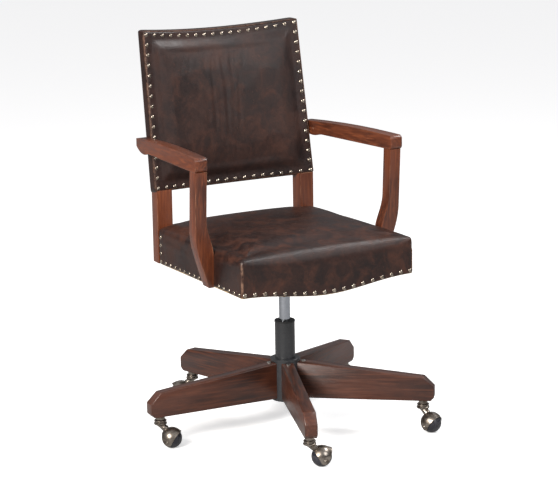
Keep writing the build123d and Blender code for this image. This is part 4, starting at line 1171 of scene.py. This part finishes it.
def rounded_pair(first, second, radius):
    """Rounds an edge: two depths below two faces that meet are pulled onto a quarter circle."""
    a = np.maximum(radius - first, 0)
    b = np.maximum(radius - second, 0)
    length = np.hypot(a, b)
    inside = (a > 0) & (b > 0) & (length > radius * 0.98)
    scale = np.where(inside, radius / np.maximum(length, 1e-9), 1.0)
    return np.where(inside, radius - a * scale, first), np.where(inside, radius - b * scale, second)


def blown(mesh, pinned, pressure, cap):
    """The mesh after air has been blown into it. pinned is 1 where it can't move."""
    holder = bpy.data.objects.new("cushion", mesh)
    bpy.context.scene.collection.objects.link(holder)
    pins = holder.vertex_groups.new(name="pins")
    for i in np.nonzero(pinned > 0.01)[0]:
        pins.add([int(i)], float(pinned[i]), "REPLACE")
    cloth = holder.modifiers.new("cloth", "CLOTH")
    cloth.settings.quality = 4
    cloth.settings.mass = 0.3
    cloth.settings.tension_stiffness = 18
    cloth.settings.compression_stiffness = 12
    cloth.settings.shear_stiffness = 6
    cloth.settings.bending_stiffness = 0.4
    cloth.settings.use_pressure = True
    cloth.settings.uniform_pressure_force = pressure
    cloth.settings.vertex_group_mass = "pins"
    cloth.settings.effector_weights.gravity = 0
    cloth.point_cache.frame_start = 1
    cloth.point_cache.frame_end = 20
    for moment in range(1, 21):
        bpy.context.scene.frame_set(moment)
    swollen = plain_mesh(holder)
    start, moved = coordinates(mesh), coordinates(swollen)
    travel = moved - start
    normals = np.zeros(len(mesh.vertices) * 3)
    mesh.vertex_normals.foreach_get("vector", normals)
    normals = normals.reshape(-1, 3)
    inward = np.minimum(np.sum(travel * normals, axis=1, keepdims=True), 0)
    travel -= inward * normals
    length = np.linalg.norm(travel, axis=1, keepdims=True)
    travel *= np.minimum(1.0, cap / np.maximum(length, 1e-9))
    set_coordinates(swollen, start + travel)
    bpy.data.objects.remove(holder)
    bpy.context.scene.frame_set(1)
    print("blown up, largest movement in mm", round(float(np.linalg.norm(travel, axis=1).max()) * 1000, 1))
    return swollen


def evened(mesh, factor, repeat, outward=0.0):
    """A little smoothing of a remeshed block, and a step outward for what that shrinks."""
    smoothing = ("SMOOTH", {"factor": factor, "iterations": repeat})
    return worked(mesh, [smoothing, ("DISPLACE", {"strength": outward, "mid_level": 0.0})])


def tube(points, radius, steps=8):
    """A closed cord along points."""
    shape = bmesh.new()
    rings = []
    for i, point in enumerate(points):
        ahead = (points[min(i + 1, len(points) - 1)] - points[max(i - 1, 0)]).normalized()
        side = ahead.cross(Vector((0.3, 1, 0.2))).normalized()
        across = ahead.cross(side)
        turn = [2 * math.pi * j / steps for j in range(steps)]
        spokes = [side * math.cos(a) + across * math.sin(a) for a in turn]
        rings.append([shape.verts.new(point + spoke * radius) for spoke in spokes])
    for low, high in zip(rings, rings[1:]):
        for j in range(steps):
            shape.faces.new((low[j], low[(j + 1) % steps], high[(j + 1) % steps], high[j]))
    shape.faces.new(rings[0])
    shape.faces.new(rings[-1])
    bmesh.ops.recalc_face_normals(shape, faces=shape.faces)
    return from_bmesh(shape, "cord")


# %% The seat's leather
cover_low, cover_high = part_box("seat_cover")
seat_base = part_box("dust_cover")[1].z
side_height = 0.092
apron_dip = 0.021
front_y = cover_low.y
rear_y = cover_high.y
front_half = cover_high.x
rear_half = 0.2295
notch_half = 0.185
notch_y = 0.2290
side_slope = (front_half - rear_half) / (0.233 - front_y)
notch_side = front_half - side_slope * (notch_y - front_y)
half_plan = [(front_half, front_y), (notch_side, notch_y), (notch_half, notch_y), (notch_half, rear_y)]
seat_plan = half_plan + [(-x, y) for x, y in reversed(half_plan)]
voxel = 0.006
block = worked(
    prism(seat_plan, seat_base, seat_base + side_height),
    [("REMESH", {"mode": "VOXEL", "voxel_size": voxel})],
)
points = coordinates(block)
x, y, z = points.T.copy()
half_here = front_half - side_slope * (y - front_y)
from_side, from_front, from_top = half_here - np.abs(x), y - front_y, seat_base + side_height - z
from_side, from_front = rounded_pair(from_side, from_front, 0.007)
front_round = 0.008 + 0.016 * (1 - np.clip(np.abs(x) / front_half, 0, 1) ** 4)
from_front, from_top = rounded_pair(from_front, from_top, front_round)
from_side, from_top = rounded_pair(from_side, from_top, 0.011)
from_rear, from_top = rounded_pair(rear_y - (front_y + from_front), from_top, 0.015)
y = rear_y - from_rear
x = np.sign(x) * (half_here - from_side)
z = seat_base + side_height - from_top
share_x = np.clip(np.abs(x) / front_half, 0, 1)
share_y = np.clip(np.abs(y - (front_y + rear_y) / 2) / ((rear_y - front_y) / 2), 0, 1)
crown = (1 - share_x**2.6) * (1 - share_y**2.8)
upper = step_between(z, seat_base + side_height * 0.55, seat_base + side_height)
z = z + 0.022 * crown * upper
hang = apron_dip * (0.5 + 0.5 * np.cos(math.pi * np.clip(x / front_half, -1, 1)))
near_front = 1 - step_between(y - front_y, 0.022, 0.026)
z = z - hang * near_front * np.clip(1 - (z - seat_base) / side_height, 0, 1)
set_coordinates(block, np.stack([x, y, z], axis=1))
block = evened(block, 0.4, 2, 0.0006)
x, y, z = coordinates(block).T
pinned = 1 - step_between(z, seat_base + 0.015, seat_base + 0.030)
pinned = np.maximum(pinned, step_between(y, rear_y - 0.030, rear_y - 0.018))
pinned = np.maximum(pinned, 1 - step_between(z, seat_base + 0.030, seat_base + 0.060))
block = blown(block, pinned, 4.0, 0.007)
seat_mesh = worked(block, [("SUBSURF", {"levels": 1, "render_levels": 1})])
x, y, z = coordinates(seat_mesh).T
on_top = step_between(z, seat_base + 0.060, seat_base + 0.090)
on_front = 1 - step_between(y - front_y, 0.004, 0.030)
store(seat_mesh, "wear", 0.22 + 0.62 * np.maximum(on_top, 0.75 * on_front))
half_here = front_half - side_slope * (y - front_y)
at_corner = np.hypot(half_here - np.abs(x), y - front_y)
seam = 1 - step_between(at_corner, 0.0022, 0.0055)
hang = apron_dip * (0.5 + 0.5 * np.cos(math.pi * np.clip(x / front_half, -1, 1)))
low_edge = (1 - step_between(z - seat_base + hang, 0.0008, 0.0035)) * on_front
store(seat_mesh, "rubbed", np.maximum(0.65 * seam, 0.35 * low_edge))
seat_mesh.shade_smooth()
seat_leather = add_piece("seat_leather", seat_mesh, leather, "seat", ["seat_cover", "seat_foam"])
print("seat leather faces", len(seat_mesh.polygons))

# %% The back's leather
bottom = Vector((0, 0.233, 0.590))
top = Vector((0, 0.295, 0.989))
back_length = (top - bottom).length
rake = math.atan2(top.y - bottom.y, top.z - bottom.z)
across_back = Vector((0, math.cos(rake), -math.sin(rake)))
up_back = Vector((0, math.sin(rake), math.cos(rake)))
low_half, high_half = 0.2315, 0.2230
back_curve, back_thickness, top_dip = 0.0275, 0.031, 0.012


def on_back(x, along, depth):
    """Points on the curved, raked back, from places on a flat one."""
    x, along, depth = (np.asarray(value, float) for value in (x, along, depth))
    chord = low_half + (high_half - low_half) * along / back_length
    across = x * chord / low_half
    # The top edge dips in the middle, and is cut level from front to rear.
    share = np.clip(x / low_half, -1, 1)
    top_radius = (high_half**2 + back_curve**2) / (2 * back_curve)
    top_back = back_curve - top_radius + np.sqrt((top_radius + depth) ** 2 - (share * high_half) ** 2)
    top_level = top.z - top_dip * (1 - share**2)
    top_along = (top_level - bottom.z - top_back * across_back.z) / up_back.z
    along = along * top_along / back_length
    radius = (chord**2 + back_curve**2) / (2 * back_curve)
    set_back = back_curve - radius + np.sqrt((radius + depth) ** 2 - across**2)
    offset = np.stack([across, set_back * across_back.y, set_back * across_back.z], axis=-1)
    return offset + np.array(bottom) + np.multiply.outer(along, np.array(up_back))


flat_plan = [(-low_half, 0.0), (low_half, 0.0), (low_half, back_thickness), (-low_half, back_thickness)]
slab = worked(prism(flat_plan, 0.0, back_length), [("REMESH", {"mode": "VOXEL", "voxel_size": 0.005})])
x, depth, along = coordinates(slab).T.copy()
from_side = low_half - np.abs(x)
for is_front in (True, False):
    face = depth if is_front else back_thickness - depth
    from_side, face = rounded_pair(from_side, face, 0.004)
    low_gap, face = rounded_pair(along, face, 0.004)
    top_gap, face = rounded_pair(back_length - low_gap, face, 0.004)
    along = back_length - top_gap
    depth = face if is_front else back_thickness - face
x = np.sign(x) * (low_half - from_side)
inset = np.minimum(np.minimum(low_half - np.abs(x), along), back_length - along)
pad_rise = 0.008 * step_between(inset, 0.020, 0.046) + 0.004 * step_between(inset, 0.040, 0.190)
front_side = 1 - step_between(depth, 0.006, 0.020)
rear_side = step_between(depth, 0.018, 0.028)
depth = depth - pad_rise * front_side + 0.003 * step_between(inset, 0.015, 0.120) * rear_side
set_coordinates(slab, on_back(x, along, depth))
slab = evened(slab, 0.4, 2, 0.0014)
pinned = 1 - step_between(inset, 0.019, 0.040)
slab = blown(slab, pinned, 4.0, 0.005)
store(slab, "inset", inset)
store(slab, "front_side", front_side)
back_mesh = worked(slab, [("SUBSURF", {"levels": 1, "render_levels": 1})])
inset = np.zeros(len(back_mesh.vertices))
back_mesh.attributes["inset"].data.foreach_get("value", inset)
store(back_mesh, "wear", 0.18 + 0.30 * step_between(inset, 0.02, 0.09))
faces_front = np.zeros(len(back_mesh.vertices))
back_mesh.attributes["front_side"].data.foreach_get("value", faces_front)
front_edge = (1 - step_between(inset, 0.001, 0.004)) * step_between(faces_front, 0.97, 1.0)
store(back_mesh, "rubbed", 0.3 * front_edge)
back_mesh.shade_smooth()
back_leather = add_piece("back_leather", back_mesh, leather, "seat", ["back_cover", "back_pad"])
print("back leather faces", len(back_mesh.polygons))

# %% Cords in the seams
seam_radius = 0.0016


def seam_cord(name, path, rubbed):
    """A worn leather cord along a seam."""
    mesh = tube(path, seam_radius)
    store(mesh, "wear", np.full(len(mesh.vertices), 0.9))
    store(mesh, "rubbed", np.full(len(mesh.vertices), rubbed))
    return add_piece(name, mesh, leather, "seat")


for side, label in ((-1, "left"), (1, "right")):
    corner_x = side * (front_half - 0.0022)
    heights = np.linspace(seat_base + 0.004, seat_base + side_height - 0.030, 16)
    seam_cord(
        f"seat_seam_{label}",
        [Vector((corner_x, front_y + 0.0022, level)) for level in heights],
        0.55,
    )
edge_path = [(-low_half + 0.001, share * back_length) for share in np.linspace(0.01, 0.995, 40)]
edge_path += [(share * (low_half - 0.001), back_length - 0.001) for share in np.linspace(-0.98, 0.98, 60)]
edge_path += [(low_half - 0.001, share * back_length) for share in np.linspace(0.995, 0.01, 40)]
welt = [Vector(on_back(x, along, 0.0012)) for x, along in edge_path]
seam_cord("back_welt", welt, 0.22)
print("seams made")

# %% [markdown]
# ## Dome nails grown on the CAD's nails
#
# Every nail's place and direction comes from its CAD solid, so the rows stay right when the frame
# changes. A Geometry Nodes tree then sets one dome on each place, each a little different in size.

# %% Find where the nails are
def solid_places(node_name):
    """The centre of the flat base and the outward direction of each domed solid in a CAD node."""
    shape = bmesh.new()
    shape.from_mesh(frame["nodes"][node_name].data)
    bmesh.ops.remove_doubles(shape, verts=shape.verts, dist=1e-6)
    shape.verts.ensure_lookup_table()
    seen, spots, outward = set(), [], []
    for first in shape.verts:
        if first.index in seen:
            continue
        island, queue = [], [first]
        seen.add(first.index)
        while queue:
            here = queue.pop()
            island.append(here.co.copy())
            for joined_edge in here.link_edges:
                other = joined_edge.other_vert(here)
                if other.index not in seen:
                    seen.add(other.index)
                    queue.append(other)
        cloud = np.array(island)
        axis = np.linalg.svd(cloud - cloud.mean(axis=0))[2][2]
        level = (cloud - cloud.mean(axis=0)) @ axis
        away = np.linalg.norm(cloud - cloud.mean(axis=0) - np.outer(level, axis), axis=1)
        rim = cloud[away > 0.95 * away.max()]
        base = rim.mean(axis=0)
        reach = (cloud - base) @ axis
        outward.append(axis * np.sign(reach[np.argmax(np.abs(reach))]))
        spots.append(base)
    shape.free()
    return np.array(spots), np.array(outward)


# %% The nail tree
nails, nails_in, nails_out = tree_with(
    "dome nails",
    [
        ("Nail Radius", "Float"),
        ("Nail Height", "Float"),
        ("Variation", "Float"),
        ("Seed", "Int"),
        ("Material", "Material"),
    ],
)
ball_shape = node(
    nails,
    "GeometryNodeMeshUVSphere",
    {"Segments": 18, "Rings": 12, "Radius": 1.0},
).outputs[0]
lower = node(nails, "GeometryNodeInputPosition").outputs[0]
lower_z = node(nails, "ShaderNodeSeparateXYZ", {0: lower}).outputs[2]
clipped = math_node(nails, "MAXIMUM", lower_z, 0.0)
flat_parts = node(nails, "ShaderNodeSeparateXYZ", {0: lower}).outputs
pressed = node(nails, "ShaderNodeCombineXYZ", {0: flat_parts[0], 1: flat_parts[1], 2: clipped}).outputs[0]
dome = node(nails, "GeometryNodeSetPosition", {"Geometry": ball_shape, "Position": pressed}).outputs[0]
dome = node(nails, "GeometryNodeMergeByDistance", {"Geometry": dome, "Distance": 0.002}).outputs[0]
dome_size = node(
    nails, "ShaderNodeCombineXYZ", {
        0: nails_in["Nail Radius"],
        1: nails_in["Nail Radius"],
        2: nails_in["Nail Height"],
    }
).outputs[0]
dome = node(nails, "GeometryNodeTransform", {"Geometry": dome, "Scale": dome_size}).outputs[0]
facing_out = node(
    nails, "GeometryNodeInputNamedAttribute", {"Name": "outward"}, data_type="FLOAT_VECTOR"
).outputs[0]
aligned = node(nails, "FunctionNodeAlignRotationToVector", {"Vector": facing_out}, axis="Z").outputs[0]
spot_points = node(nails, "GeometryNodeMeshToPoints", {"Mesh": nails_in["Geometry"]}).outputs[0]
least = math_node(nails, "SUBTRACT", 1.0, nails_in["Variation"])
scatter = node(nails, "FunctionNodeRandomValue", {"Seed": nails_in["Seed"]}, data_type="FLOAT")
nails.links.new(least, scatter.inputs[2])
scatter.inputs[3].default_value = 1.0
set_out = node(
    nails,
    "GeometryNodeInstanceOnPoints",
    {"Points": spot_points, "Instance": dome, "Rotation": aligned, "Scale": scatter.outputs[1]},
).outputs[0]
real = node(nails, "GeometryNodeRealizeInstances", {"Geometry": set_out}).outputs[0]
real = node(nails, "GeometryNodeSetShadeSmooth", {"Geometry": real}).outputs[0]
real = node(
    nails,
    "GeometryNodeSetMaterial",
    {"Geometry": real, "Material": nails_in["Material"]},
).outputs[0]
nails.links.new(real, nails_out["Geometry"])

# %% Grow the nails
for node_name, seed in (("seat_nails", 3), ("back_nails", 8)):
    spots, outward = solid_places(node_name)
    rows = bpy.data.meshes.new(node_name + "_places")
    rows.from_pydata([tuple(spot) for spot in spots], [], [])
    direction = rows.attributes.new("outward", "FLOAT_VECTOR", "POINT")
    direction.data.foreach_set("vector", outward.astype(np.float32).ravel())
    values = {
        "Nail Radius": 0.0056,
        "Nail Height": 0.0032,
        "Variation": 0.05,
        "Seed": seed,
        "Material": nail_metal,
    }
    nail_mesh = grown(rows, nails, values)
    add_piece(node_name + "_domes", nail_mesh, None, "seat", [node_name])
    print(node_name, len(spots), "nails, faces", len(nail_mesh.polygons))

# %% Pan-head screws in the legs beside the hub
screw_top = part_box("leg_screws")[1].z
pan_head = [
    (0.0, -0.0340), (0.0020, -0.0320), (0.0020, -0.0030), (0.0055, -0.0030), (0.0055, -0.0012),
    (0.0046, -0.0003), (0.0030, 0.0), (0.0019, -0.0001), (0.0007, -0.0013), (0.0, -0.0014),
]
screw_circle = 0.046
screws = []
for stem in stem_spots:
    outward_way = Vector((stem.x, stem.y, 0)).normalized()
    place = Matrix.Translation(outward_way * screw_circle + Vector((0, 0, screw_top)))
    screws.append(lathe(pan_head, place, 24))
add_piece(
    "leg_screws_turned",
    merged(screws, "leg_screws_turned"),
    zinc,
    "base",
    ["leg_screws"],
)
print("screws", len(screws))

# %% [markdown]
# ## Stage, light and camera
#
# The floor and the sky look near white to the camera, but light the chair as greys, so that bright metal
# still has something dark to mirror. One large key light from the viewer's left picks out the wood's
# outer faces, a weaker one from the front fills the shadows, and one high on the right puts the sheen
# on the back.

# %% Build the stage
floor_mesh = bpy.data.meshes.new("floor")
floor_mesh.from_pydata([(-30, -30, 0), (30, -30, 0), (30, 30, 0), (-30, 30, 0)], [], [(0, 1, 2, 3)])
floor = bpy.data.objects.new("floor", floor_mesh)
bpy.context.scene.collection.objects.link(floor)
floor_material, floor_tree, floor_shader = new_material("pale floor", Roughness=0.8, Specular_IOR_Level=0.1)
floor_seen = node(floor_tree, "ShaderNodeLightPath").outputs["Is Camera Ray"]
floor_tone = mixed(floor_tree, floor_seen, colour(0.42, 0.42, 0.42), colour(0.97, 0.97, 0.97))
floor_tree.links.new(floor_tone, floor_shader.inputs["Base Color"])
floor_glow = mixed(floor_tree, floor_seen, colour(0, 0, 0), colour(0.42, 0.42, 0.42))
floor_tree.links.new(floor_glow, floor_shader.inputs["Emission Color"])
floor_shader.inputs["Emission Strength"].default_value = 1.0
floor_mesh.materials.append(floor_material)


def area_light(name, place, aim, size, power, tone=(1.0, 1.0, 1.0)):
    """A square soft light aimed at a point."""
    data = bpy.data.lights.new(name, "AREA")
    data.size = size
    data.energy = power
    data.color = tone
    lamp = bpy.data.objects.new(name, data)
    lamp.location = place
    lamp.rotation_euler = (Vector(aim) - Vector(place)).to_track_quat("-Z", "Y").to_euler()
    bpy.context.scene.collection.objects.link(lamp)
    return lamp


key = area_light("key", (-3.2, -1.6, 2.2), (0, 0, 0.55), 1.5, 210, (1.0, 0.96, 0.91))
fill = area_light("fill", (1.2, -3.8, 2.6), (0, 0, 0.5), 2.0, 42)
sheen = area_light("sheen", (2.1, -0.6, 2.7), (0, 0.1, 0.8), 1.0, 48)
world = bpy.data.worlds.new("studio")
world.use_nodes = True
sky = world.node_tree
sky_height = node(
    sky,
    "ShaderNodeSeparateXYZ",
    {0: node(sky, "ShaderNodeTexCoord").outputs["Generated"]},
).outputs[2]
overhead = between(sky, sky_height, -0.05, 0.75)
surroundings = mixed(sky, overhead, colour(0.06, 0.06, 0.065), colour(0.55, 0.55, 0.56))
seen_directly = node(sky, "ShaderNodeLightPath").outputs["Is Camera Ray"]
backdrop = mixed(sky, seen_directly, surroundings, colour(1.0, 1.0, 1.0))
sky.links.new(backdrop, sky.nodes["Background"].inputs["Color"])
sky.nodes["Background"].inputs["Strength"].default_value = 1.0
bpy.context.scene.world = world
bpy.context.scene.view_settings.view_transform = "Standard"

# %% Set the camera
yaw, pitch, roll = math.radians(-30.48), math.radians(12.49), math.radians(-0.88)
forward = Vector((-math.sin(yaw) * math.cos(pitch), math.cos(yaw) * math.cos(pitch), -math.sin(pitch)))
rightward = Vector((math.cos(yaw), math.sin(yaw), 0))
upward = rightward.cross(forward)
rolled_right = rightward * math.cos(roll) + upward * math.sin(roll)
rolled_up = upward * math.cos(roll) - rightward * math.sin(roll)
lens = bpy.data.cameras.new("camera")
lens.lens = 142.75
lens.sensor_width = 36
lens.shift_x = -0.01674
lens.shift_y = -0.01278
camera = bpy.data.objects.new("camera", lens)
camera.matrix_world = Matrix((rolled_right, rolled_up, -forward)).transposed().to_4x4()
camera.location = (-2.7134, -4.634, 1.661)
bpy.context.scene.collection.objects.link(camera)
bpy.context.scene.camera = camera
